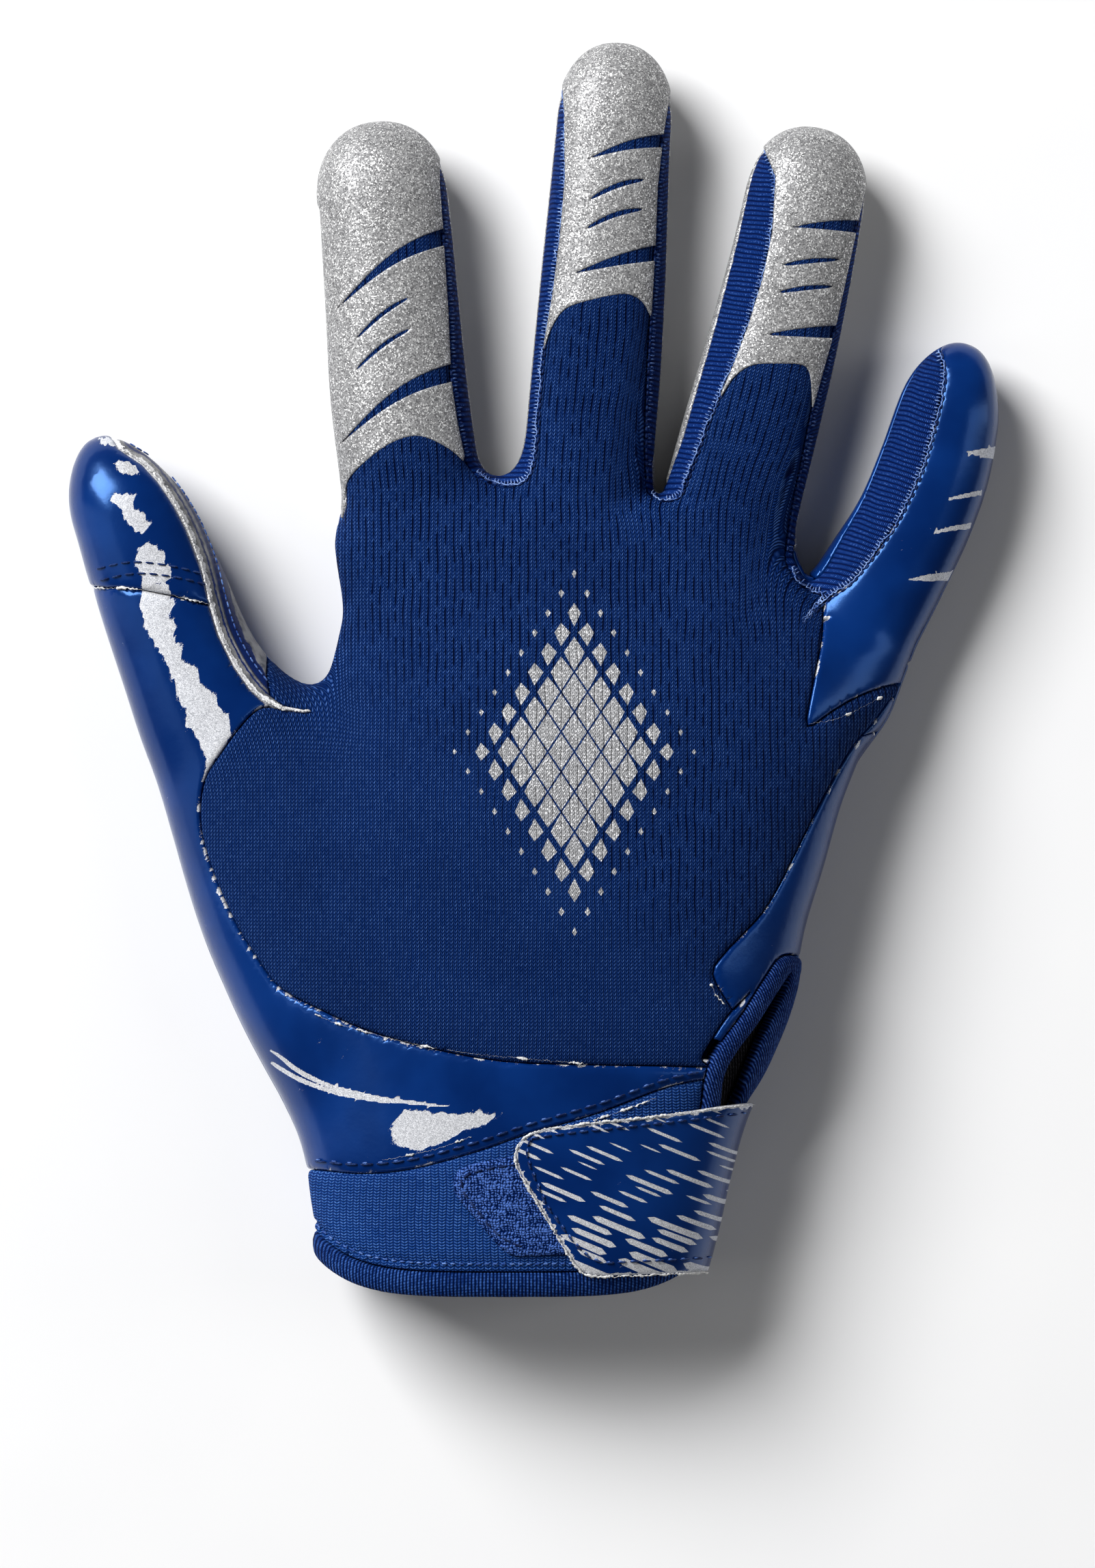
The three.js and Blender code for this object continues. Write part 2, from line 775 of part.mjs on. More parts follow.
const tonguePlan = palmLine([
  [0.3, 0.36],
  [1.2, 0.36],
  [1.2, -0.13],
  [0.3, -0.13],
]);
const strapOutline = palmLine([
  [1, 0.11],
  [0.397, 0.079],
  [0.105, 0.063],
  [-0.026, 0.054],
  [-0.061, 0.039],
  [-0.072, 0.017],
  [-0.041, -0.015],
  [0.037, -0.076],
  [0.105, -0.125],
  [0.164, -0.148],
  [1, -0.135],
]);
const padOutline = palmLine([
  [0.3, 0.055],
  [-0.085, 0.014],
  [-0.25, 0.002],
  [-0.268, -0.031],
  [-0.201, -0.068],
  [-0.109, -0.11],
  [-0.044, -0.126],
  [0.3, -0.12],
]);
const dartLine = palmLine([
  [-0.8, 0.152],
  [-0.72, 0.132],
  [-0.6, 0.118],
  [-0.46, 0.104],
  [-0.264, 0.09],
]);
const dartWidths = dartLine.map((_, i) => DART_WIDTH * bladeFullness(i / (dartLine.length - 1), false));
const dartSlit = blade(dartLine, dartWidths, new THREE.Vector2(0, 1));

// Layers of the hand form: what lies above the surface, the walls, and the thicker walls of the bindings
const glovePlan = palmLine([
  [-4, -2],
  [4, -2],
  [4, 4],
  [-4, 4],
]);
const aboveGround = prism(glovePlan, 0);
const shell = handSolid(0).intersect(aboveGround).subtract(handSolid(-WALL, true));
const bindingShell = handSolid(BINDING_SWELL)
  .intersect(aboveGround)
  .subtract(handSolid(-WALL - BINDING_SWELL, true));
const upperSide = aboveSeam(SEAM_GAP / 2);
const lowerLimit = aboveSeam(-SEAM_GAP / 2);

/** A sheet lying on the form, its underside so far above it. */
function sheetOver(clearance, thickness) {
  return handSolid(clearance + thickness).subtract(handSolid(clearance));
}

/** The plan of everything nearer to the cuff's edge than a distance. The edge dips in its middle. */
function nearCuffEdge(distance) {
  const { left, right } = cuffSections[0];
  const edge = [];
  for (let t = -1.25; t <= 1.25; t += 0.25) {
    const across = (left + right) / 2 + (t * (right - left)) / 2;
    const dip = CUFF_BOW * (1 - Math.min(Math.abs(t), 1) ** 2);
    edge.push(new THREE.Vector2(across * PALM_HALF_WIDTH, distance - dip));
  }
  return [...edge, onPalm(1.2, -1), onPalm(-1.2, -1)];
}

/** The plan of the cuff: everything below the wrist seam, less a distance. */
function belowWristSeam(distance) {
  const seam = wristSeam.map((p) => new THREE.Vector2(p.x, p.y - distance));
  return [...seam, ...palmLine([[OUTSIDE, 0.14], [OUTSIDE, -1], [-OUTSIDE, -1], [-OUTSIDE, 0]])];
}

const pieces = {};

/** The bound edge of the cuff, and the binding round the vent. */
function makeBindings() {
  const ventCut = prism(ventMouth).intersect(upperSide);
  const edge = prism(nearCuffEdge(BINDING_WIDTH));
  const edgeClear = prism(nearCuffEdge(BINDING_WIDTH + SEAM_GAP));
  const frame = prism(grown(ventMouth, VENT_BINDING_WIDTH)).intersect(upperSide);
  pieces.cuff_binding = largest(bindingShell.intersect(edge).subtract(ventCut));
  pieces.vent_binding = largest(bindingShell.intersect(frame).subtract(ventCut).subtract(edgeClear));
}

/** The sewn panels. The back is cut into its panels one after another, each with a seam gap round it. */
function makePanels() {
  const ventFrame = prism(grown(ventMouth, VENT_BINDING_WIDTH + SEAM_GAP)).intersect(lowerLimit);
  const unbound = shell.subtract(prism(nearCuffEdge(BINDING_WIDTH + SEAM_GAP))).subtract(ventFrame);
  pieces.cuff_band = largest(unbound.intersect(prism(belowWristSeam(SEAM_GAP))));
  const hand = unbound.subtract(prism(belowWristSeam(0)));

  let palm = hand.subtract(lowerLimit);
  for (const [name, root] of Object.entries(frontRoots)) {
    const outline = fingerLine(fingers[name], [...root, [PAST_TIP, 1.5], [PAST_TIP, -1.5]]);
    pieces[`${name}_front`] = largest(palm.intersect(prism(outline)));
    palm = palm.subtract(prism(grown(outline, SEAM_GAP)));
  }
  pieces.palm_panel = largest(palm);

  let uncut = hand.intersect(upperSide);
  for (const [name, outline] of Object.entries(panelOutlines)) {
    pieces[name] = largest(uncut.intersect(prism(outline)));
    uncut = uncut.subtract(prism(grown(outline, SEAM_GAP)));
  }
  pieces.thumb_wrap = largest(uncut.subtract(prism(dartSlit)));
}

/** The silver caps lie over the fingers of the back panel, and its knit shows in their slits. */
function makeCaps() {
  const sheet = sheetOver(SEAM_GAP, CAP_FILM).intersect(upperSide);
  for (const [name, cap] of Object.entries(caps)) {
    const finger = fingers[name];
    const whole = sheet.intersect(prism(capOutline(finger, cap)));
    const slits = cap.slits.map((slit) => prism(slitOutline(finger, slit)));
    pieces[`${name}_cap`] = largest(slits.reduce((left, slit) => left.subtract(slit), whole));
  }
}

/** The loop pad lies on the cuff, and the strap over the pad and round the little finger's side. */
function makeStrap() {
  const padSheet = sheetOver(BINDING_SWELL + SEAM_GAP, PAD_THICKNESS).intersect(upperSide);
  const edgeClear = prism(nearCuffEdge(BINDING_WIDTH + SEAM_GAP));
  pieces.loop_pad = largest(padSheet.intersect(prism(padOutline)).subtract(edgeClear));
  const strapSheet = sheetOver(BINDING_SWELL + 2 * SEAM_GAP + PAD_THICKNESS, STRAP_THICKNESS);
  const strapLow = cuffSections[0].seam * PALM_THICKNESS - STRAP_REACH;
  pieces.wrist_strap = largest(strapSheet.intersect(prism(strapOutline, strapLow)));
}

/** The dark tongue that shows through the vent lies just inside it, and reaches past it on each side. */
function makeTongue() {
  const depth = WALL + BINDING_SWELL + SEAM_GAP;
  const sheet = handSolid(-depth, true).subtract(handSolid(-depth - TONGUE_THICKNESS, true));
  pieces.vent_tongue = largest(sheet.intersect(upperSide).intersect(prism(tonguePlan)));
}

makeBindings();
makePanels();
makeCaps();
makeStrap();
makeTongue();

// Finishes
const finishes = {
  knit: new THREE.MeshStandardMaterial({ color: 0x14305f, roughness: 0.85, metalness: 0 }),
  film: new THREE.MeshStandardMaterial({ color: 0x0e2f6a, roughness: 0.12, metalness: 0 }),
  mesh: new THREE.MeshStandardMaterial({ color: 0x163569, roughness: 0.6, metalness: 0 }),
  silver: new THREE.MeshStandardMaterial({ color: 0xb4b4b4, roughness: 0.4, metalness: 0.6 }),
  elastic: new THREE.MeshStandardMaterial({ color: 0x1d3a70, roughness: 0.8, metalness: 0 }),
  loop: new THREE.MeshStandardMaterial({ color: 0x1a3566, roughness: 0.95, metalness: 0 }),
  lining: new THREE.MeshStandardMaterial({ color: 0x1a1a1a, roughness: 0.9, metalness: 0 }),
};
const finishOf = {
  back_panel: "knit",
  palm_panel: "film",
  index_front: "film",
  middle_front: "film",
  ring_front: "film",
  little_front: "film",
  thumb_front: "film",
  fourchette_index_middle: "mesh",
  fourchette_middle_ring: "mesh",
  fourchette_ring_little: "mesh",
  index_side: "silver",
  little_wrap: "film",
  side_strip: "film",
  thumb_gusset: "silver",
  thumb_tip_cap: "film",
  thumb_wrap: "film",
  index_cap: "silver",
  middle_cap: "silver",
  ring_cap: "silver",
  cuff_band: "elastic",
  cuff_binding: "elastic",
  vent_binding: "elastic",
  loop_pad: "loop",
  wrist_strap: "film",
  vent_tongue: "lining",
};

/** A named mesh of a solid. */
function meshOf(name, solid) {
  const { vertProperties, triVerts, numProp } = solid.getMesh();
  const positions = new Float32Array((vertProperties.length / numProp) * 3);
  for (let i = 0; i < positions.length / 3; i++) {
    positions.set(vertProperties.subarray(i * numProp, i * numProp + 3), i * 3);
  }
  const geometry = new THREE.BufferGeometry();
  geometry.setAttribute("position", new THREE.BufferAttribute(positions, 3));
  geometry.setIndex(new THREE.BufferAttribute(new Uint32Array(triVerts), 1));
  geometry.computeVertexNormals();
  const mesh = new THREE.Mesh(geometry, finishes[finishOf[name]]);
  mesh.name = name;
  return mesh;
}

const glove = new THREE.Group();
for (const [name, solid] of Object.entries(pieces)) glove.add(meshOf(name, solid));

// The origin goes to the middle of the underside
const box = new THREE.Box3().setFromObject(glove);
const middleOfBox = box.getCenter(new THREE.Vector3());
glove.position.set(-middleOfBox.x, -middleOfBox.y, -box.min.z);

export default glove;
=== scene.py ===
"""A right-hand football receiver glove that lies palm down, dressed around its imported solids.

The hand's form is one smooth implicit surface, blended from a trunk and five fingers. Every sewn panel is
cut out of that surface along its own borders, given its thickness and a rounded edge, and joined by modelled
stitches. Form and borders are reckoned in millimetres in the glove's own plan: +X to the little finger and
+Y to the fingertips.
"""

from __future__ import annotations

import logging
import math
from collections.abc import Callable, Sequence
from dataclasses import dataclass, field
from enum import Enum

import bpy
import numpy as np
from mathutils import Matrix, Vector
from mathutils.bvhtree import BVHTree

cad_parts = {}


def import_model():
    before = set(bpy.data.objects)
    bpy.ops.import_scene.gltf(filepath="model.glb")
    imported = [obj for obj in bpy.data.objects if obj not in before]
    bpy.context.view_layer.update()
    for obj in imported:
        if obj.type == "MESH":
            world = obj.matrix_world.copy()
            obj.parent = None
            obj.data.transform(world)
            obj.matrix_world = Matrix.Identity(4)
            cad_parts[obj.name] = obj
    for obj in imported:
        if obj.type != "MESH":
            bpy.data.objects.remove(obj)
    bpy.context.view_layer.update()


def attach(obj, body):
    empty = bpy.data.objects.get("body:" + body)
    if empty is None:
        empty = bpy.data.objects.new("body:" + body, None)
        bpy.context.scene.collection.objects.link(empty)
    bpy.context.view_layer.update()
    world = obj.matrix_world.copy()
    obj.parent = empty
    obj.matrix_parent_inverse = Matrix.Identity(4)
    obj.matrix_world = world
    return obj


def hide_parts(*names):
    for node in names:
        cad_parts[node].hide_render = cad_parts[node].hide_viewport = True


log = logging.getLogger("glove")

Rows = Sequence[Sequence[float]]
Field = Callable[[np.ndarray], np.ndarray]

METRE = 0.001  # one millimetre
PLAN_SHIFT = np.array([0.088, -108.366, 0.0])  # from the plan's wrist point to the middle of the underside
BODY = "root"

# Sizes shared with the solids, in millimetres
PALM_LENGTH = 121.2
PALM_HALF_WIDTH = 55.0
CUFF_LENGTH = 22.2
WALL = 1.6
FLATTEN = 0.5
BINDING_WIDTH = 4.4
GROOVE_RISE = 1.5  # of the stitched groove over the binding
VENT_BINDING_WIDTH = 3.2

# The photograph's frame
PIXEL = 0.12  # millimetres for each pixel
PLAN_PIXEL = (786.0, 1898.0)  # the pixel of the plan's zero

# Sections: 2 is an ellipse, and more is squarer
TOP_SQUARENESS = 2.3
UNDER_SQUARENESS = 3.0
END_SQUARENESS = 2.2
FINGER_SEAM = 0.47  # how high a finger's seam lies, of its thickness
FINGER_DEPTH = 0.85  # of its half width, so that its depth comes near to millimetres

# The least lengths and squares that are divided by, and the least value beside a cut
TINY = 1e-9
TINY_SQUARE = 1e-12
CUT_TINY = 1e-6

COARSE_STEPS = 3  # of a long border, for each stretch between two of its points
SEED = 11


def on_palm(rows: Rows) -> np.ndarray:
    """Points of the plan from shares of the palm.

    Args:
        rows: across from the middle line, as a share of the half width, and along from the wrist seam.

    Returns:
        One row of x and y for each point, in millimetres.
    """
    shares = np.asarray(rows, dtype=float)
    return np.column_stack([shares[:, 0] * PALM_HALF_WIDTH, CUFF_LENGTH + shares[:, 1] * PALM_LENGTH])


def at_pixels(rows: Rows) -> np.ndarray:
    """Points of the plan from pixels of the photograph."""
    pixels = np.asarray(rows, dtype=float)
    return (pixels - PLAN_PIXEL) * (PIXEL, -PIXEL)


def smooth_line(points: np.ndarray, steps: int = 5) -> np.ndarray:
    """A smooth line through points.

    Args:
        points: the points in order.
        steps: how many pieces each stretch between two of them gets.

    Returns:
        The points of the line, the first and the last included.
    """
    padded = np.vstack([2 * points[0] - points[1], points, 2 * points[-1] - points[-2]])
    shares = np.linspace(0.0, 1.0, steps, endpoint=False)[:, None]
    parts = []
    for i in range(len(points) - 1):
        before, start, end, after = padded[i : i + 4]
        linear = end - before
        square = 2 * before - 5 * start + 4 * end - after
        cube = 3 * (start - end) + after - before
        parts.append(start + 0.5 * shares * (linear + shares * (square + shares * cube)))
    return np.vstack([*parts, points[-1:]])


def even_line(points: np.ndarray, spacing: float) -> np.ndarray:
    """The same line with points at even distances.

    Args:
        points: the corners of the line.
        spacing: about how far apart the new points lie.

    Returns:
        The new points, the first and the last included.
    """
    lengths = np.r_[0.0, np.cumsum(np.linalg.norm(np.diff(points, axis=0), axis=1))]
    count = max(int(round(lengths[-1] / spacing)), 1)
    places = np.linspace(0.0, lengths[-1], count + 1)
    return np.column_stack([np.interp(places, lengths, points[:, i]) for i in range(points.shape[1])])


def ease(values: np.ndarray, low: float, high: float) -> np.ndarray:
    """Runs smoothly from 0 at low to 1 at high."""
    share = np.clip((values - low) / (high - low), 0.0, 1.0)
    return share * share * (3.0 - 2.0 * share)


def blended(first: np.ndarray, second: np.ndarray, reach: np.ndarray | float) -> np.ndarray:
    """The union of two depths, with their crease filled over a reach."""
    share = np.clip(0.5 + 0.5 * (first - second) / reach, 0.0, 1.0)
    return second + (first - second) * share + reach * share * (1.0 - share)


class Profile:
    """Columns of a table as smooth functions of its first column."""

    def __init__(self, rows: Rows) -> None:
        """Keeps the rows and the slopes at them."""
        table = np.asarray(rows, dtype=float)
        self.places = table[:, 0]
        self.values = table[:, 1:]
        self.slopes = np.gradient(self.values, self.places, axis=0)

    def at(self, places: np.ndarray) -> np.ndarray:
        """Gives the columns at places.

        Args:
            places: values of the first column.

        Returns:
            One array for each of the other columns.
        """
        inside = np.clip(places, self.places[0], self.places[-1])
        i = np.clip(np.searchsorted(self.places, inside) - 1, 0, len(self.places) - 2)
        span = self.places[i + 1] - self.places[i]
        t = ((inside - self.places[i]) / span)[:, None]
        width = span[:, None]
        start = self.values[i] * (1 + 2 * t) * (1 - t) ** 2 + self.slopes[i] * width * t * (1 - t) ** 2
        end = self.values[i + 1] * t**2 * (3 - 2 * t) + self.slopes[i + 1] * width * t**2 * (t - 1)
        return (start + end).T


def section_share(across: np.ndarray, height: np.ndarray, up: np.ndarray, down: np.ndarray) -> np.ndarray:
    """How far out a point lies in a rounded section: 1 on its skin.

    Args:
        across: the distance from the section's middle as a share of its half width.
        height: the height above its seam.
        up: how far the section reaches above the seam.
        down: how far it reaches below.

    Returns:
        The share for each point.
    """
    upper = (np.abs(across) ** TOP_SQUARENESS + np.abs(height / up) ** TOP_SQUARENESS) ** (1 / TOP_SQUARENESS)
    under = np.abs(across) ** UNDER_SQUARENESS + np.abs(height / down) ** UNDER_SQUARENESS
    return np.where(height > 0, upper, under ** (1 / UNDER_SQUARENESS))


@dataclass(frozen=True)
class Finger:
    """A finger's form. The rows are along, sway, half and deep: shares of length, half width and depth."""

    length: float
    width: float
    thickness: float
    lean: float
    root: tuple[float, float]
    rows: Rows
    tip_from: float = 0.83
    root_taper: float = 0.2
    root_end: float = 0.0

    @property
    def seam(self) -> float:
        """The seam's height above the surface that the glove lies on."""
        return self.thickness * FINGER_SEAM

    @property
    def ahead(self) -> np.ndarray:
        """The way the finger points."""
        return np.array([math.sin(math.radians(self.lean)), math.cos(math.radians(self.lean))])

    @property
    def right(self) -> np.ndarray:
        """The way to the finger's right."""
        return np.array([self.ahead[1], -self.ahead[0]])

    def local(self, points: np.ndarray) -> tuple[np.ndarray, np.ndarray]:
        """The share along the finger and the distance to the right of its straight axis."""
        plan = points[:, :2] - on_palm([self.root])[0]
        return plan @ self.ahead / self.length, plan @ self.right

    def place(self, rows: Rows) -> np.ndarray:
        """Points of the plan from places on the finger.

        Args:
            rows: along, as a share of the length, and across, from -1 at the left edge to 1.

        Returns:
            One row of x and y for each, in millimetres.
        """
        full_to = 0.95
        along, across = np.asarray(rows, dtype=float).T
        sway, half, _ = Profile(self.rows).at(np.minimum(along, full_to))
        aside = (sway + across * half) * self.width / 2
        return on_palm([self.root]) + along[:, None] * self.length * self.ahead + aside[:, None] * self.right

    def depth(self, points: np.ndarray) -> np.ndarray:
        """Roughly how deep points lie inside the finger, in millimetres.

        Args:
            points: places on the glove or near it.

        Returns:
            One depth for each, below zero outside.
        """
        along, across = self.local(points)
        sway, half, deep = Profile(self.rows).at(along)
        half_width = self.width / 2
        share = section_share(
            (across - sway * half_width) / (half * half_width),
            points[:, 2] - self.seam,
            (self.thickness - self.seam) * deep,
            (self.seam + FLATTEN) * np.minimum(deep, 1.0),
        )
        tip = np.maximum((along - self.tip_from) / (1 - self.tip_from), 0.0)
        root = np.maximum((self.root_end - along) / self.root_taper, 0.0)
        total = (share**END_SQUARENESS + tip**END_SQUARENESS + root**END_SQUARENESS) ** (1 / END_SQUARENESS)
        return (1.0 - total) * half_width * FINGER_DEPTH


INDEX = Finger(
    73.4, 24.8, 19.4, -3.1, (-0.424, 0.914),
    [
        (-0.2, 0.25, 1.03, 0.98),
        (0.0, 0.20, 1.02, 1.0),
        (0.15, 0.13, 1.0, 1.0),
        (0.35, 0.04, 0.985, 0.98),
        (0.55, 0.01, 0.955, 0.95),
        (0.75, -0.02, 0.93, 0.92),
        (0.88, -0.045, 0.905, 0.89),
        (1.0, -0.05, 0.89, 0.86),
    ],
    tip_from=0.82,
)  # fmt: skip
MIDDLE = Finger(
    87.3, 23.4, 19.0, 3.5, (0.166, 0.914),
    [
        (-0.2, -0.03, 1.05, 0.98),
        (0.0, -0.05, 1.04, 1.0),
        (0.15, -0.07, 0.99, 1.0),
        (0.35, -0.04, 0.975, 0.98),
        (0.55, -0.02, 0.94, 0.95),
        (0.75, -0.01, 0.885, 0.92),
        (0.88, 0.0, 0.86, 0.89),
        (1.0, 0.0, 0.85, 0.86),
    ],
    tip_from=0.84,
)  # fmt: skip
RING = Finger(
    81.0, 24.4, 19.0, 10.2, (0.598, 0.855),
    [
        (-0.2, -0.16, 1.04, 0.98),
        (0.0, -0.14, 1.03, 1.0),
        (0.15, -0.1, 1.0, 1.0),
        (0.35, 0.0, 0.975, 0.98),
        (0.55, 0.1, 0.935, 0.95),
        (0.75, 0.165, 0.885, 0.92),
        (0.88, 0.178, 0.86, 0.89),
        (1.0, 0.175, 0.85, 0.86),
    ],
    tip_from=0.84,
)  # fmt: skip
LITTLE = Finger(
    63.9, 24.0, 17.6, 19.8, (0.969, 0.706),
    [
        (-0.2, -0.42, 1.02, 0.98),
        (0.0, -0.24, 1.01, 1.0),
        (0.15, -0.1, 0.97, 1.0),
        (0.35, 0.09, 0.905, 0.97),
        (0.5, 0.215, 0.85, 0.94),
        (0.65, 0.235, 0.825, 0.92),
        (0.8, 0.17, 0.76, 0.88),
        (0.9, 0.12, 0.68, 0.83),
        (1.0, 0.1, 0.6, 0.78),
    ],
    tip_from=0.8,
)  # fmt: skip
THUMB = Finger(
    69.9, 28.0, 23.5, -19.6, (-0.962, 0.518),
    [
        (-0.7, 0.48, 1.0, 0.95),
        (-0.45, 0.47, 1.09, 1.02),
        (-0.24, 0.42, 1.14, 1.07),
        (0.0, 0.28, 1.07, 1.06),
        (0.12, 0.24, 1.04, 1.0),
        (0.25, 0.14, 0.95, 0.96),
        (0.38, 0.07, 0.86, 0.92),
        (0.6, 0.05, 0.805, 0.87),
        (0.78, 0.03, 0.72, 0.81),
        (0.88, -0.03, 0.63, 0.75),
        (1.0, -0.06, 0.5, 0.66),
    ],
    tip_from=0.8,
    root_taper=0.3,
    root_end=-0.5,
)  # fmt: skip
FINGERS = {"index": INDEX, "middle": MIDDLE, "ring": RING, "little": LITTLE, "thumb": THUMB}


@dataclass(frozen=True)
class Trunk:
    """The palm and the cuff. The rows are y, left, right, top and seam, in millimetres."""

    rows: Rows = (
        (-20.0, -36.9, 27.0, 32.0, 15.6),
        (0.0, -36.9, 27.0, 32.0, 15.6),
        (5.0, -38.0, 28.2, 33.0, 15.9),
        (13.3, -38.8, 30.2, 33.4, 15.9),
        (22.2, -40.1, 32.2, 33.7, 15.8),
        (33.1, -42.1, 35.6, 34.0, 15.6),
        (41.6, -44.6, 40.4, 34.3, 15.3),
        (52.5, -49.2, 44.6, 34.3, 14.9),
        (64.6, -52.6, 46.9, 34.3, 14.3),
        (75.5, -52.5, 50.2, 33.7, 13.6),
        (86.9, -49.0, 53.5, 32.6, 12.9),
        (95.8, -43.5, 56.9, 31.3, 12.2),
        (103.4, -38.6, 59.0, 29.9, 11.7),
        (109.5, -36.4, 58.2, 28.5, 11.4),
        (117.6, -34.4, 54.0, 26.5, 10.9),
        (124.6, -33.2, 48.6, 24.6, 10.4),
        (132.5, -33.0, 45.0, 22.6, 9.9),
        (141.6, -32.6, 44.6, 20.6, 9.4),
    )
    end_from: float = 131.0
    end: float = 141.6

    def depth(self, points: np.ndarray) -> np.ndarray:
        """Roughly how deep points lie inside the trunk, in millimetres.

        Args:
            points: places on the glove or near it.

        Returns:
            One depth for each, below zero outside.
        """
        left, right, top, seam = Profile(self.rows).at(points[:, 1])
        half = (right - left) / 2
        share = section_share(
            (points[:, 0] - (left + right) / 2) / half, points[:, 2] - seam, top - seam, seam + FLATTEN
        )
        end = np.maximum((points[:, 1] - self.end_from) / (self.end - self.end_from), 0.0)
        return (1.0 - (share**END_SQUARENESS + end**END_SQUARENESS) ** (1 / END_SQUARENESS)) * (top - seam)


@dataclass(frozen=True)
class HandForm:
    """The whole form of the glove's outside, before panels, edges and folds."""

    trunk: Trunk = Trunk()
    finger_blend: float = 5.0
    crotch_blends: Rows = ((-16.0, 5.0), (-10.0, 8.0), (-2.0, 8.0), (4.0, 5.0), (14.0, 1.5), (60.0, 1.5))
    crotch_from: tuple[float, float] = (112.0, 122.0)
    thumb_blend: float = 9.0
    ground_blend: float = 0.8
    cell: float = 1.05
    low: tuple[float, float] = (-84.0, -8.0)  # where the skin's grid starts, across and along
    high: tuple[float, float, float] = (84.0, 223.0, 37.0)  # and where it ends
    cells_below: float = 1.2  # how many cells it starts below the ground
    slabs: int = 12  # the grid is reckoned in so many parts
    probe: float = 0.05  # how far to both sides a slope is felt for
    least_steepness: float = 0.05

    def depth(self, points: np.ndarray) -> np.ndarray:
        """Roughly how deep points lie inside the form, in millimetres.

        Args:
            points: places on the glove or near it.

        Returns:
            One depth for each, below zero outside.
        """
        depth = blended(self.trunk.depth(points), THUMB.depth(points), self.thumb_blend)
        rows = np.asarray(self.crotch_blends)
        near = ease(points[:, 1], *self.crotch_from)
        crotch_reach = np.interp(points[:, 0], rows[:, 0], rows[:, 1])
        reach = self.finger_blend + near * (crotch_reach - self.finger_blend)
        for name in ("little", "index", "ring", "middle"):
            depth = blended(depth, FINGERS[name].depth(points), reach)
        return -blended(-depth, -points[:, 2], self.ground_blend)

    def gradient(self, points: np.ndarray) -> np.ndarray:
        """How the depth changes at points along each axis."""
        columns = []
        for axis in np.eye(3) * self.probe:
            columns.append((self.depth(points + axis) - self.depth(points - axis)) / (2 * self.probe))
        return np.column_stack(columns)

    def settle(self, points: np.ndarray, rounds: int = 2) -> np.ndarray:
        """Moves points that lie near the skin onto it."""
        for _ in range(rounds):
            slope = self.gradient(points)
            steepness = np.maximum((slope**2).sum(1), self.least_steepness)
            move = slope * (-self.depth(points) / steepness)[:, None]
            points = points + np.clip(move, -self.cell, self.cell)
        return points

    def normals(self, points: np.ndarray) -> np.ndarray:
        """The ways straight out of the skin."""
        slope = -self.gradient(points)
        return slope / np.maximum(np.linalg.norm(slope, axis=1, keepdims=True), TINY)

    def skin(self) -> Surface:
        """The form's surface as triangles, open at the cuff end, made by surface nets on a grid."""
        low = np.array([*self.low, -self.cells_below * self.cell])
        counts = np.ceil((self.high - low) / self.cell).astype(int) + 1
        axes = [low[i] + self.cell * np.arange(counts[i]) for i in range(3)]
        grid = np.stack(np.meshgrid(*axes, indexing="ij"), axis=-1).reshape(-1, 3)
        depth = np.concatenate([self.depth(part) for part in np.array_split(grid, self.slabs)])
        depth = depth.reshape(counts)
        points, faces = surface_nets(depth, low, self.cell)
        return Surface(self.settle(points), faces)


def surface_nets(depth: np.ndarray, low: np.ndarray, cell: float) -> tuple[np.ndarray, np.ndarray]:
    """Draws the zero surface of a grid of depths.

    Args:
        depth: the depths, positive inside.
        low: the place of the grid's first point.
        cell: the grid's spacing.

    Returns:
        The points and the triangles, facing out.
    """
    inside = depth > 0
    shape = np.array(depth.shape)
    total = np.zeros((*(shape - 1), 3))
    count = np.zeros(shape - 1)
    corners = [np.array([(i >> k) & 1 for k in range(3)]) for i in range(8)]
    for a, first in enumerate(corners):
        for b in range(a + 1, 8):
            second = corners[b]
            if np.abs(first - second).sum() != 1:
                continue
            one = depth[tuple(slice(o, o + n - 1) for o, n in zip(first, shape))]
            two = depth[tuple(slice(o, o + n - 1) for o, n in zip(second, shape))]
            crossed = (one > 0) != (two > 0)
            share = np.where(crossed, one / np.where(crossed, one - two, 1.0), 0.0)
            total += np.where(crossed[..., None], first + share[..., None] * (second - first), 0.0)
            count += crossed
    used = count > 0
    number = -np.ones(shape - 1, dtype=int)
    number[used] = np.arange(used.sum())
    places = np.argwhere(used) + total[used] / count[used][:, None]
    faces = []
    for axis in range(3):
        one, two = (axis + 1) % 3, (axis + 2) % 3
        start = np.moveaxis(inside, axis, 0)[:-1]
        end = np.moveaxis(inside, axis, 0)[1:]
        for goes_in in (True, False):
            hits = np.argwhere((start != end) & (end == goes_in))
            cells = np.empty_like(hits)
            order = [axis, *[i for i in range(3) if i != axis]]
            cells[:, order] = hits
            cells = cells[(cells[:, one] > 0) & (cells[:, two] > 0)]
            cells = cells[(cells[:, one] < shape[one] - 1) & (cells[:, two] < shape[two] - 1)]
            back_one, back_two = np.zeros(3, dtype=int), np.zeros(3, dtype=int)
            back_one[one], back_two[two] = 1, 1
            quad = [cells, cells - back_one, cells - back_one - back_two, cells - back_two]
            ids = [number[tuple(c.T)] for c in quad]
            if goes_in:
                ids.reverse()
            faces += [np.stack(ids[:3], axis=1), np.stack([ids[0], ids[2], ids[3]], axis=1)]
    return low + cell * places, np.concatenate(faces)


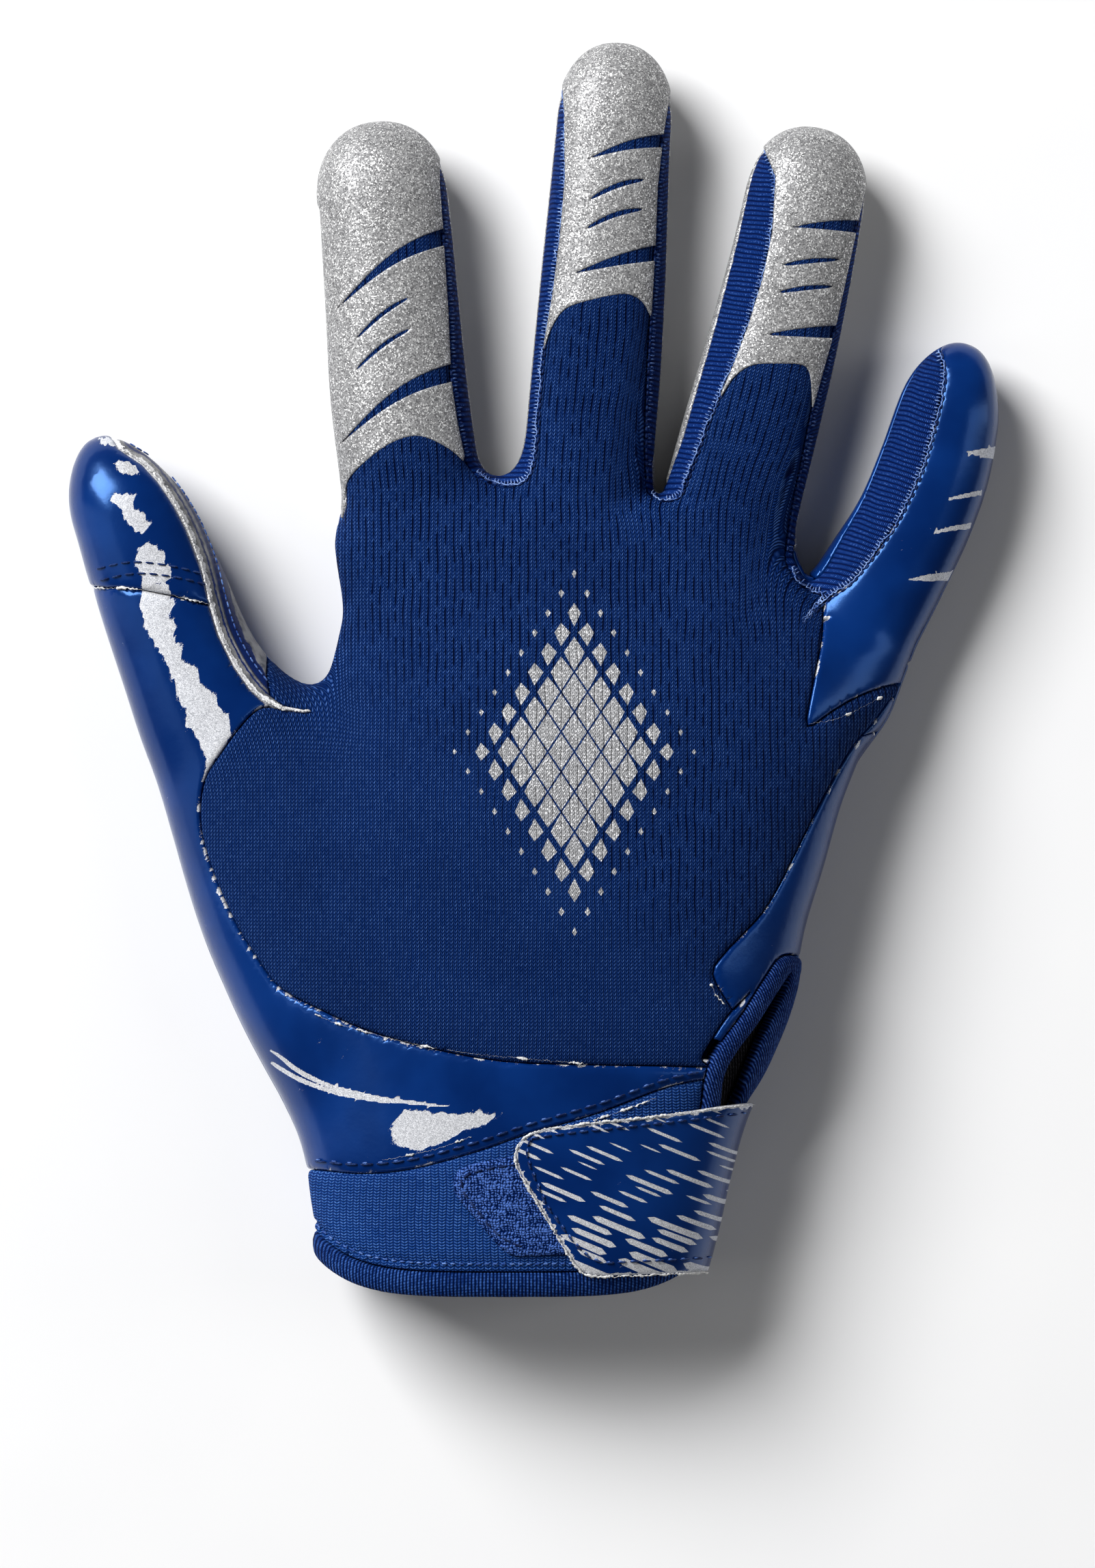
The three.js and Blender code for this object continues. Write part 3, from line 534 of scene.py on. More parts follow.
@dataclass
class Surface:
    """Triangles with values at their points."""

    points: np.ndarray
    faces: np.ndarray
    data: dict[str, np.ndarray] = field(default_factory=dict)

    def tidy(self) -> Surface:
        """The surface without the points that no face uses."""
        used, faces = np.unique(self.faces, return_inverse=True)
        data = {name: values[used] for name, values in self.data.items()}
        return Surface(self.points[used], faces.reshape(-1, 3), data)

    def only(self, keep: np.ndarray) -> Surface:
        """The faces of which some point is kept."""
        return Surface(self.points, self.faces[keep[self.faces].any(axis=1)], self.data).tidy()

    def _with_edge_points(self, edges: np.ndarray, shares: np.ndarray) -> tuple[Surface, np.ndarray]:
        """Adds one point on each edge.

        Args:
            edges: the numbers of the two points of each.
            shares: how far along the edge its new point lies.

        Returns:
            The surface, and the numbers of the new points.
        """
        a, b = edges.T
        share = shares[:, None]
        points = np.vstack([self.points, self.points[a] * (1 - share) + self.points[b] * share])
        data = {}
        for name, values in self.data.items():
            weight = share if values.ndim > 1 else shares
            data[name] = np.concatenate([values, values[a] * (1 - weight) + values[b] * weight])
        return Surface(points, self.faces, data), len(self.points) + np.arange(len(edges))

    def halved(self, near: np.ndarray) -> Surface:
        """Splits the edges whose two points are both marked.

        Args:
            near: which points are marked.

        Returns:
            The surface, with finer triangles there.
        """
        marks = near[self.faces]
        count = marks.sum(axis=1)
        pairs = np.concatenate([self.faces[:, [0, 1]], self.faces[:, [1, 2]], self.faces[:, [2, 0]]])
        pairs = np.sort(pairs[near[pairs].all(axis=1)], axis=1)
        keys, index = np.unique(pairs[:, 0] * len(self.points) + pairs[:, 1], return_index=True)
        grown, numbers = self._with_edge_points(pairs[index], np.full(len(keys), 0.5))

        def middle(a: np.ndarray, b: np.ndarray) -> np.ndarray:
            """The new point between two old ones."""
            key = np.minimum(a, b) * len(self.points) + np.maximum(a, b)
            return numbers[np.searchsorted(keys, key)]

        a, b, c = self.faces[count == 3].T
        ab, bc, ca = middle(a, b), middle(b, c), middle(c, a)
        parts = [self.faces[count < 2]]
        parts += [np.stack(t, axis=1) for t in ((a, ab, ca), (ab, b, bc), (ca, bc, c), (ab, bc, ca))]
        two = self.faces[count == 2]
        start = (np.argmin(marks[count == 2], axis=1) + 1) % 3
        turned = two[np.arange(len(two))[:, None], (start[:, None] + np.arange(3)) % 3]
        a, b, c = turned.T
        ab = middle(a, b)
        parts += [np.stack((a, ab, c), axis=1), np.stack((ab, b, c), axis=1)]
        grown.faces = np.concatenate(parts)
        return grown

    def cut(self, values: np.ndarray, keep_all: bool = False) -> Surface:
        """Cuts the surface where the values pass through zero.

        Args:
            values: one number for each point.
            keep_all: whether the side below zero stays too.

        Returns:
            The part above zero, or all of it with the line of the cut added.
        """
        values = np.where(np.abs(values) < CUT_TINY, CUT_TINY, values)
        above = values > 0
        sides = above[self.faces]
        count = sides.sum(axis=1)
        mixed = (count == 1) | (count == 2)
        odd_above = count[mixed] == 1
        odd = np.where(odd_above[:, None], sides[mixed], ~sides[mixed])
        turned = self.faces[mixed][
            np.arange(mixed.sum())[:, None], (odd.argmax(axis=1)[:, None] + np.arange(3)) % 3
        ]
        a, b, c = turned.T
        pairs = np.sort(np.concatenate([turned[:, [0, 1]], turned[:, [0, 2]]]), axis=1)
        keys, index, inverse = np.unique(
            pairs[:, 0] * len(self.points) + pairs[:, 1], return_index=True, return_inverse=True
        )
        low, high = pairs[index].T
        grown, numbers = self._with_edge_points(pairs[index], values[low] / (values[low] - values[high]))
        ab, ac = numbers[inverse.reshape(2, -1)]
        tips = np.stack((a, ab, ac), axis=1)
        rests = np.stack([np.stack((ab, b, c), axis=1), np.stack((ab, c, ac), axis=1)], axis=1)
        faces = [self.faces[count == 3], tips[odd_above], rests[~odd_above].reshape(-1, 3)]
        if keep_all:
            faces += [self.faces[count == 0], tips[~odd_above], rests[odd_above].reshape(-1, 3)]
        grown.faces = np.concatenate(faces)
        return grown.tidy()

    def area(self) -> float:
        """The whole area of its faces."""
        a, b, c = (self.points[self.faces[:, i]] for i in range(3))
        return float(np.linalg.norm(np.cross(b - a, c - a), axis=1).sum() / 2)

    def walled(self, inner: np.ndarray) -> Surface:
        """Closes the surface with an inner one and walls along its open edges.

        Args:
            inner: the place of each point's partner on the inner surface.

        Returns:
            The closed surface.
        """
        count = len(self.points)
        edges = np.concatenate([self.faces[:, [0, 1]], self.faces[:, [1, 2]], self.faces[:, [2, 0]]])
        keys = edges[:, 0] * count + edges[:, 1]
        mirrored = edges[:, 1] * count + edges[:, 0]
        rim = edges[~np.isin(keys, mirrored)]
        a, b = rim.T
        walls = [np.stack((b, a, a + count), axis=1), np.stack((b, a + count, b + count), axis=1)]
        faces = np.concatenate([self.faces, self.faces[:, ::-1] + count, *walls])
        data = {name: np.concatenate([values, values]) for name, values in self.data.items()}
        return Surface(np.vstack([self.points, inner]), faces, data)


class Outline:
    """A closed line in the plan."""

    def __init__(self, points: np.ndarray) -> None:
        """Keeps the corners in order."""
        self.points = np.asarray(points, dtype=float)

    def inset(self, points: np.ndarray, reach: float = 12.0) -> np.ndarray:
        """How far points lie inside the line, in millimetres.

        Args:
            points: places, of which x and y count.
            reach: how far outside the line distances are still told apart.

        Returns:
            One distance for each, negative outside and no less than -reach.
        """
        result = np.full(len(points), -reach)
        low, high = self.points.min(axis=0) - reach, self.points.max(axis=0) + reach
        near = np.flatnonzero(((points[:, :2] > low) & (points[:, :2] < high)).all(axis=1))
        x, y = points[near, 0], points[near, 1]
        nearest = np.full(len(near), np.inf)
        inside = np.zeros(len(near), dtype=bool)
        for (ax, ay), (bx, by) in zip(self.points, np.roll(self.points, -1, axis=0)):
            dx, dy = bx - ax, by - ay
            share = np.clip(((x - ax) * dx + (y - ay) * dy) / max(dx * dx + dy * dy, TINY_SQUARE), 0.0, 1.0)
            nearest = np.minimum(nearest, (x - ax - share * dx) ** 2 + (y - ay - share * dy) ** 2)
            if dy:
                inside ^= ((ay > y) != (by > y)) & (x < ax + (y - ay) * dx / dy)
        distance = np.sqrt(nearest)
        result[near] = np.where(inside, distance, np.maximum(-distance, -reach))
        return result


# Borders of the panels in plan, as the seams run: rows of across and along on the palm, or along and across
# on a finger
WRIST_SEAM = [
    (-0.95, 0.004), (-0.724, 0.0), (-0.569, -0.006), (-0.401, 0.001), (-0.194, 0.026), (-0.041, 0.05),
    (0.203, 0.083), (0.397, 0.116), (0.524, 0.129), (0.75, 0.14),
]  # fmt: skip
WRAP_EDGE = [
    (0.55, 0.15), (0.524, 0.148), (0.397, 0.15), (0.153, 0.152), (-0.109, 0.157), (-0.353, 0.177),
    (-0.548, 0.202),
    (-0.694, 0.231), (-0.82, 0.261), (-0.888, 0.299), (-0.977, 0.365), (-1.054, 0.45), (-1.08, 0.51),
    (-1.065, 0.564), (-1.021, 0.598), (-0.938, 0.648), (-0.873, 0.672), (-0.796, 0.668), (-0.722, 0.668),
]  # fmt: skip
VENT_EDGE = [(0.829, 0.315), (0.759, 0.291), (0.685, 0.257), (0.613, 0.223), (0.554, 0.182), (0.53, 0.16)]
VENT_LEFT = [
    (0.81, 0.285), (0.76, 0.25), (0.705, 0.21), (0.641, 0.171), (0.6, 0.135), (0.582, 0.072), (0.5, -0.22),
]  # fmt: skip
VENT_RIGHT = [(0.57, -0.22), (0.631, 0.06), (0.655, 0.11), (0.705, 0.172), (0.745, 0.212), (0.79, 0.255)]
STRIP_EDGE = [
    (1.3, 0.7), (1.16, 0.69), (1.078, 0.646), (1.006, 0.608), (0.912, 0.533), (0.84, 0.468), (0.781, 0.415),
    (0.722, 0.371), (0.65, 0.336), (0.602, 0.313), (0.565, 0.283), (0.63, 0.23),
]  # fmt: skip
LITTLE_WRAP_EDGE = [
    (0.916, 0.786), (0.903, 0.743), (0.881, 0.694), (0.868, 0.643), (0.947, 0.665),
    (1.034, 0.687), (1.15, 0.703)
]  # fmt: skip
INDEX_LEFT = [
    (0.04, -1.3), (0.09, -0.98), (0.3, -0.95), (0.5, -0.95), (0.85, -0.93), (0.97, -0.85), (1.08, -0.5),
]  # fmt: skip
INDEX_RIGHT = [
    (1.08, 0.6), (0.96, 0.99), (0.922, 0.94), (0.85, 0.89), (0.739, 0.86), (0.65, 0.84), (0.539, 0.82),
    (0.44, 0.79), (0.351, 0.77), (0.27, 0.78), (0.192, 0.81),
]  # fmt: skip
MIDDLE_LEFT = [
    (0.16, -0.83), (0.273, -0.84), (0.391, -0.84), (0.489, -0.78), (0.613, -0.75),
    (0.724, -0.76), (0.853, -0.87), (0.93, -0.97), (1.08, -0.6),
]  # fmt: skip
MIDDLE_RIGHT = [
    (1.08, 0.6), (0.944, 0.97), (0.828, 0.86), (0.717, 0.8), (0.595, 0.8), (0.463, 0.79),
    (0.318, 0.8), (0.2, 0.85),
    (0.12, 0.9),
]  # fmt: skip
RING_LEFT = [
    (0.19, -0.72), (0.271, -0.67), (0.345, -0.63), (0.398, -0.57), (0.459, -0.51),
    (0.548, -0.45), (0.658, -0.41), (0.76, -0.43), (0.88, -0.56), (0.96, -0.95), (1.08, -0.6),
]  # fmt: skip
RING_RIGHT = [
    (1.08, 0.6), (0.939, 0.97), (0.828, 0.93), (0.719, 0.9), (0.581, 0.88), (0.479, 0.84), (0.405, 0.82),
    (0.283, 0.86), (0.174, 0.89), (0.08, 0.93),
]  # fmt: skip
LITTLE_LEFT = [
    (0.1, -0.75), (0.16, -0.66), (0.216, -0.56), (0.271, -0.4), (0.373, -0.3), (0.49, -0.25), (0.628, -0.21),
    (0.759, -0.22), (0.888, -0.3), (0.955, -0.62), (1.1, -0.9),
]  # fmt: skip
THUMB_RIGHT = [
    (1.1, 0.1), (0.96, 0.36), (0.903, 0.66), (0.847, 0.74), (0.784, 0.74), (0.709, 0.74), (0.611, 0.71),
    (0.519, 0.63), (0.435, 0.59), (0.35, 0.59), (0.281, 0.62), (0.243, 0.68), (0.205, 0.8),
    (0.19, 0.95), (0.17, 1.2),
]  # fmt: skip
THUMB_TIP = [
    (0.72, -1.6), (0.66, -1.05), (0.64, -0.8), (0.631, -0.6), (0.605, -0.26), (0.569, 0.12), (0.514, 0.62),
    (0.45, 1.5), (1.2, 1.5), (1.2, -1.6),
]  # fmt: skip
# Between two fingers, in the photograph's pixels
CROTCHES = {
    "index_middle": [(697, 692), (712, 703), (737, 710), (758, 708), (772, 697)],
    "middle_ring": [(953, 722), (966, 730), (983, 731), (996, 724)],
    "ring_little": [(1158, 832), (1171, 852), (1190, 866), (1203, 872)],
}
STRAP_EDGE = [
    (1.0, 0.118), (0.67, 0.103), (0.397, 0.082), (0.105, 0.066), (0.01, 0.058), (-0.04, 0.048),
    (-0.068, 0.028),
    (-0.066, 0.008), (-0.041, -0.015), (0.037, -0.076), (0.105, -0.128), (0.15, -0.148), (0.25, -0.151),
    (0.563, -0.143), (1.0, -0.13),
]  # fmt: skip
PAD_EDGE = [
    (0.3, 0.058), (-0.02, 0.026), (-0.12, 0.017), (-0.2, 0.01), (-0.25, 0.0), (-0.266, -0.015),
    (-0.262, -0.034),
    (-0.23, -0.054), (-0.194, -0.073), (-0.159, -0.092), (-0.12, -0.112), (-0.075, -0.125), (0.0, -0.125),
    (0.3, -0.12),
]  # fmt: skip


# Seams and cut edges: rows of along and across on the thumb, of the photograph's pixels, and of the palm
THUMB_TIP_SEAM = [(0.695, -1.0), (0.69, -0.6), (0.677, -0.21), (0.635, 0.3), (0.589, 0.68)]
THUMB_LOWEST = (0.2, 0.84)
THUMB_CROTCH = [(400, 1031), (428, 1042), (455, 1043)]
# The film's cut edges, in the photograph's pixels, each with the share of it that stands out. Some, such as
# the line over the tail strip, are painted glints: white lines where the film catches the light, laid as cut
# edges
FRAYED_EDGES_AND_GLINTS = (
    ([(462, 1484), (485, 1495), (540, 1512), (600, 1527), (640, 1535)], 0.5),
    ([(655, 1537), (700, 1544), (860, 1558)], 0.12),
    ([(868, 1640), (905, 1628), (960, 1607)], 0.7),
    ([(560, 1698), (580, 1695), (640, 1682), (690, 1664)], 0.4),
    ([(1183, 1060), (1230, 1050), (1290, 1020)], 0.6),
    ([(1040, 1440), (1048, 1458), (1060, 1470)], 0.9),
)
STRAP_SEAMS = (
    [(-0.02, 0.047), (0.105, 0.055), (0.397, 0.071), (0.66, 0.09)],
    [(0.03, -0.052), (0.16, -0.125), (0.3, -0.13), (0.62, -0.12)],
    [(-0.02, 0.047), (-0.035, 0.028), (-0.018, 0.0), (0.03, -0.052)],
)
PAD_SEAM = [(-0.02, 0.012), (-0.2, -0.002), (-0.243, -0.02), (-0.2, -0.052), (-0.12, -0.095), (-0.04, -0.112)]


@dataclass(frozen=True)
class Slit:
    """A slit in a silver cap.

    It runs from its tip to its end, both along and across the finger. Its width is in millimetres.
    """

    tip: tuple[float, float]
    end: tuple[float, float]
    bow: float
    width: float
    is_open: bool
    samples: int = 17
    open_power: float = 1.7  # how fast an open slit widens from its tip
    closed_power: float = 0.4  # and how fast a closed one narrows at its ends
    least: float = 0.05  # its least width, of the whole

    def outline(self, finger: Finger) -> Outline:
        """The slit's outline in plan.

        Args:
            finger: the finger that it lies on.

        Returns:
            Its closed line, in millimetres.
        """
        share = np.linspace(0.0, 1.0, self.samples)
        along = self.tip[0] + (self.end[0] - self.tip[0]) * share + self.bow * np.sin(np.pi * share)
        across = self.tip[1] + (self.end[1] - self.tip[1]) * share
        line = finger.place(np.column_stack([along, across]))
        fullness = np.sin(np.pi * share) ** self.closed_power
        if self.is_open:
            fullness = 1 - (1 - share) ** self.open_power
        side = finger.ahead * (np.maximum(fullness, self.least) * self.width / 2)[:, None]
        return Outline(np.vstack([line + side, (line - side)[::-1]]))


@dataclass(frozen=True)
class Cap:
    """A silver cap: its lower edge, along and across the finger, the borders beside it and its slits."""

    finger: Finger
    left: Rows
    right: Rows
    lower_edge: Rows
    slits: tuple[Slit, ...]

    def outline(self) -> Outline:
        """The cap's outline in plan, the slits not cut."""
        inset = 0.015
        low_left, low_right = self.lower_edge[0][0], self.lower_edge[-1][0]
        right = [(along, across - inset) for along, across in self.right if along > low_right]
        left = [(along, across + inset) for along, across in self.left if along > low_left]
        lower = smooth_line(self.finger.place(self.lower_edge))
        return Outline(np.vstack([lower, self.finger.place(right[::-1]), self.finger.place(left[::-1])]))


CAPS = {
    "index": Cap(
        INDEX, [(0.16, -0.94), (0.5, -0.94), (0.78, -0.95), (0.86, -1.1), (0.92, -1.4), (1.08, -1.4)],
        INDEX_RIGHT,
        [(0.075, -0.95), (0.11, -0.93), (0.152, -0.85), (0.194, -0.57), (0.231, -0.21), (0.246, 0.14),
         (0.234, 0.38), (0.207, 0.62), (0.18, 0.77)],
        (Slit((0.56, -0.8), (0.722, 0.98), 0.032, 3.0, True),
         Slit((0.486, -0.55), (0.577, 0.26), 0.01, 0.75, False),
         Slit((0.41, -0.59), (0.502, 0.24), 0.01, 0.75, False),
         Slit((0.237, -0.9), (0.398, 0.98), 0.034, 3.2, True)),
    ),
    "middle": Cap(
        MIDDLE, MIDDLE_LEFT, MIDDLE_RIGHT,
        [(0.375, -0.82), (0.422, -0.73), (0.461, -0.54), (0.483, -0.12), (0.497, 0.31), (0.492, 0.53),
         (0.477, 0.67), (0.455, 0.77)],
        (Slit((0.765, -0.38), (0.812, 1.05), 0.01, 2.4, True),
         Slit((0.683, -0.31), (0.729, 0.57), 0.008, 0.9, False),
         Slit((0.624, -0.33), (0.67, 0.57), 0.008, 0.9, False),
         Slit((0.533, -0.45), (0.59, 1.05), 0.006, 2.9, True)),
    ),
    "ring": Cap(
        RING, RING_LEFT, RING_RIGHT,
        [(0.39, -0.54), (0.438, -0.43), (0.47, -0.21), (0.483, 0.17), (0.489, 0.5), (0.474, 0.64),
         (0.433, 0.74), (0.4, 0.8)],
        (Slit((0.78, -0.1), (0.808, 1.08), 0.004, 2.3, True),
         Slit((0.695, -0.13), (0.728, 0.72), 0.003, 0.8, False),
         Slit((0.635, -0.1), (0.668, 0.7), 0.003, 0.8, False),
         Slit((0.539, -0.16), (0.578, 1.08), 0.002, 2.4, True)),
    ),
}  # fmt: skip
SILVER_MARKS = (
    [(0.712, 0.42), (0.735, 0.7), (0.761, 1.05), (0.725, 1.1), (0.715, 0.75)],
    [(0.58, 0.4), (0.606, 0.64), (0.631, 0.9), (0.617, 0.92), (0.594, 0.65), (0.572, 0.4)],
    [(0.48, 0.39), (0.51, 0.63), (0.537, 0.92), (0.52, 0.94), (0.497, 0.65), (0.472, 0.4)],
    [(0.324, 0.32), (0.36, 0.6), (0.39, 0.93), (0.42, 1.06), (0.372, 1.08), (0.35, 0.75)],
)

SIGHT_HEIGHT = 1148.0  # from the plan's scale level up to where the borders were seen from
SIGHT_LEVEL = 12.0
SIGHT_MIDDLE = np.array([1.86, 90.0])


def seen(points: np.ndarray) -> np.ndarray:
    """Where points appear in the plan, seen from straight above its middle."""
    nearer = SIGHT_HEIGHT / (SIGHT_HEIGHT - (points[:, 2:3] - SIGHT_LEVEL))
    return SIGHT_MIDDLE + (points[:, :2] - SIGHT_MIDDLE) * nearer


@dataclass(frozen=True)
class Seam:
    """The seam between back and palm. It rises where the palm's film wraps a finger's left side."""

    finger_level: float = 8.93
    lifts: tuple[tuple[Finger, float], ...] = ((RING, 3.6), (LITTLE, 3.2), (INDEX, 0.8))
    reach: float = 0.65  # how far from a finger's axis it rises at all, of the finger's width
    side: tuple[float, float] = (0.2, 0.42)  # how far to the left it begins to rise and is full, of the width
    starts: tuple[float, float] = (0.12, 0.3)  # where it begins and is full, along the finger
    stops: tuple[float, float] = (0.86, 0.98)  # and where it begins to end and ends

    def above(self, points: np.ndarray) -> np.ndarray:
        """How far points lie above the seam, in millimetres.

        Args:
            points: places on the glove or near it.

        Returns:
            One distance for each, negative below.
        """
        rows = np.asarray(Trunk().rows)
        levels = np.maximum(rows[:, -1], self.finger_level)
        level = np.interp(points[:, 1], rows[:, 0], levels, right=self.finger_level)
        for finger, lift in self.lifts:
            along, across = finger.local(points)
            inside = np.abs(across) < finger.width * self.reach
            stretch = ease(along, *self.starts) * (1 - ease(along, *self.stops))
            level += inside * lift * ease(-across / finger.width, *self.side) * stretch
        return points[:, 2] - level


def above_cuff_edge(points: np.ndarray) -> np.ndarray:
    """How far points lie up from the cuff's edge, which is lowest in its middle."""
    middle, half, widest = -5.0, 33.5, 1.1
    low, rise, power = 1.3, 6.0, 5
    share = np.minimum(np.abs(points[:, 0] - middle) / half, widest)
    return points[:, 1] - low - rise * share**power


@dataclass(frozen=True)
class Sewing:
    """How a panel lies on the form, in millimetres."""

    layer: float = 0.0  # how far its face lies outside the form
    puff: float = 0.3  # how far it swells between its seams
    puff_reach: float = 3.5  # how far from the edge it has most of that
    roll: float = 0.55  # how far its edge turns in
    reach: float = 1.1  # where that begins, from the edge
    thickness: float = WALL
    gap: float = 0.1  # from its edge to the middle of the seam
    fineness: int = 2  # how often the triangles near its edge are halved


@dataclass
class Pattern:
    """The glove's panels, cut from the form's skin along their borders."""

    form: HandForm = field(default_factory=HandForm)
    seam: Seam = field(default_factory=Seam)

    def __post_init__(self) -> None:
        """Makes the skin and the outlines."""
        self.skin = self.form.skin()
        webs = {name: at_pixels(rows) for name, rows in CROTCHES.items()}
        back = [
            on_palm(VENT_EDGE[2:]), on_palm(WRAP_EDGE), on_palm([(-0.85, 0.69), (-0.85, 0.8), (-0.85, 0.92)]),
            INDEX.place(INDEX_LEFT), INDEX.place(INDEX_RIGHT), webs["index_middle"],
            MIDDLE.place(MIDDLE_LEFT), MIDDLE.place(MIDDLE_RIGHT), webs["middle_ring"],
            RING.place(RING_LEFT), RING.place(RING_RIGHT), webs["ring_little"],
            on_palm(LITTLE_WRAP_EDGE), on_palm(STRIP_EDGE),
        ]  # fmt: skip
        little = np.vstack([LITTLE.place(LITTLE_LEFT), RING.place([(1.15, 0.3), (0.02, 0.3)]),
                            on_palm([(0.8, 0.8), (0.93, 0.8)])])  # fmt: skip
        gusset = np.vstack([THUMB.place(THUMB_RIGHT), THUMB.place([(0.14, 2.6), (1.1, 2.6)])])
        self.back_line = smooth_line(np.vstack(back), COARSE_STEPS)
        self.vent = Outline(smooth_line(on_palm([*VENT_LEFT, *VENT_RIGHT]), COARSE_STEPS))
        self.outlines = {
            "back_panel": Outline(self.back_line),
            "fourchette_index_middle": self._between(INDEX, MIDDLE, (-0.107, 0.9)),
            "fourchette_middle_ring": self._between(MIDDLE, RING, (0.4, 0.88)),
            "fourchette_ring_little": Outline(little),
            "index_side": Outline(INDEX.place([(-0.02, -2), (1.3, -2), (1.3, 0), (0.02, 0)])),
            "little_wrap": Outline(
                np.vstack([on_palm([(0.8, 0.83)]), LITTLE.place([(1.3, -1), (1.3, 2)]),
                           on_palm([(1.5, 0.68), (0.8, 0.6)])])
            ),
            "side_strip": Outline(
                on_palm([(0.5, 0.2), (0.5, 0.4), (0.8, 0.6), (1.5, 0.68), (1.4, 0.1), (0.8, 0.15)])
            ),
            "thumb_gusset": Outline(gusset),
            "thumb_tip_cap": Outline(THUMB.place(THUMB_TIP)),
            "thumb_wrap": Outline(
                on_palm([(-1.7, -0.2), (0.62, -0.2), (0.62, 0.157), (-0.3, 0.19), (-0.6, 0.5), (-0.62, 0.7),
                         (-0.76, 0.78), (-1.0, 1.4), (-1.7, 1.4)])
            ),
        }  # fmt: skip
        below = on_palm([(1.4, 0.14), (1.4, -1), (-1.4, -1), (-1.4, 0)])
        self.cuff = Outline(np.vstack([smooth_line(on_palm(WRIST_SEAM)), below]))
        self.front_outlines = {
            "index_front": self._front(INDEX, [(0.07, -1.4), (0.11, 1.25)]),
            "middle_front": self._front(MIDDLE, [(0.1, -1.2), (0.1, 1.1)]),
            "ring_front": self._front(RING, [(0.19, -1.1), (0.09, 1.15)]),
            "little_front": self._front(LITTLE, [(0.26, -1.1), (0.08, 1.5)]),
            "thumb_front": self._front(THUMB, [(0.02, -1.4), (0.21, 1.25)]),
        }

    @staticmethod
    def _between(left: Finger, right: Finger, web: tuple[float, float]) -> Outline:
        """The plan between two fingers, out past their tips."""
        sides = [left.place([(0.0, 0.3), (1.15, 0.3)]), right.place([(1.15, -0.1), (0.0, -0.1)])]
        return Outline(np.vstack([*sides, on_palm([web])]))

    @staticmethod
    def _front(finger: Finger, root: Rows) -> Outline:
        """The plan of a finger's front, from its root seam out past its tip."""
        return Outline(finger.place([*root, (1.25, 1.5), (1.25, -1.5)]))

    def off_vent(self, points: np.ndarray, reach: float) -> np.ndarray:
        """How far points of the upper side lie outside the vent's mouth and so much round it."""
        return np.maximum(-self.vent.inset(seen(points)) - reach, -self.seam.above(points))

    def panel_value(self, name: str) -> Field:
        """Gives how far inside a panel of the upper side points lie.

        Args:
            name: the panel's name. Each panel is cut from what the ones before it leave.

        Returns:
            The function of the points.
        """
        names = list(self.outlines)
        before = [self.outlines[other] for other in names[: names.index(name)]]

        def value(points: np.ndarray) -> np.ndarray:
            """How far inside the panel points lie."""
            flat = seen(points)
            result = np.minimum(self.outlines[name].inset(flat), self.seam.above(points))
            for outline in (*before, self.cuff):
                result = np.minimum(result, -outline.inset(flat))
            return np.minimum(result, self.off_vent(points, VENT_BINDING_WIDTH))

        return value

    def front_value(self, name: str) -> Field:
        """Gives how far inside a panel of the palm's side points lie.

        Args:
            name: the panel's name: a finger's front, or else the palm.

        Returns:
            The function of the points.
        """
        others = [outline for other, outline in self.front_outlines.items() if other != name]

        def value(points: np.ndarray) -> np.ndarray:
            """How far inside the panel points lie."""
            flat = points[:, :2]
            result = np.minimum(-self.seam.above(points), -self.cuff.inset(seen(points)))
            if name in self.front_outlines:
                return np.minimum(result, self.front_outlines[name].inset(flat))
            for outline in others:
                result = np.minimum(result, -outline.inset(flat))
            return result

        return value

    def cuff_value(self, points: np.ndarray) -> np.ndarray:
        """How far inside the cuff's band points lie."""
        above = above_cuff_edge(points) - BINDING_WIDTH
        inside = np.minimum(self.cuff.inset(seen(points)), above)
        return np.minimum(inside, self.off_vent(points, VENT_BINDING_WIDTH))

    def binding_value(self, points: np.ndarray) -> np.ndarray:
        """How far inside the cuff's binding points lie."""
        above = above_cuff_edge(points)
        return np.minimum(np.minimum(above, BINDING_WIDTH - above), self.off_vent(points, 0.0))

    def vent_value(self, points: np.ndarray) -> np.ndarray:
        """How far inside the vent's binding points lie."""
        outside = -self.vent.inset(seen(points))
        ring = np.minimum(outside, VENT_BINDING_WIDTH - outside)
        return np.minimum(np.minimum(ring, self.seam.above(points)), above_cuff_edge(points) - BINDING_WIDTH)

    def patch(self, value: Field, gap: float, fineness: int) -> Surface:
        """Cuts a patch out of the skin.

        Args:
            value: how far inside the patch a point lies.
            gap: how far inside its border the patch ends.
            fineness: how often the triangles near the border are halved.

        Returns:
            The patch, with its distance from the border in the data as edge.
        """
        part = self.skin.only(value(self.skin.points) > -2 * self.form.cell)
        reach = 1.2
        for _ in range(fineness):
            count = len(part.points)
            part = part.halved(np.abs(value(part.points) - gap) < reach)
            part.points[count:] = self.form.settle(part.points[count:], 1)
            reach *= 0.5
        part.data["edge"] = value(part.points) - gap
        part = part.cut(part.data["edge"])
        part.data["cloth"] = cloth_coordinates(part.points)
        return part

    def finer(self, part: Surface, value: Field, reaches: Sequence[float] = (1.0, 0.5)) -> Surface:
        """Halves a patch's triangles near where a value is zero, within each reach in turn."""
        for reach in reaches:
            count = len(part.points)
            part = part.halved(np.abs(value(part.points)) < reach)
            part.points[count:] = self.form.settle(part.points[count:], 1)
        return part

    def sewn(self, value: Field, sewing: Sewing) -> Surface:
        """Cuts a panel and gives it its thickness, its swell and its rolled edge."""
        return self.dressed(self.patch(value, sewing.gap, sewing.fineness), sewing)

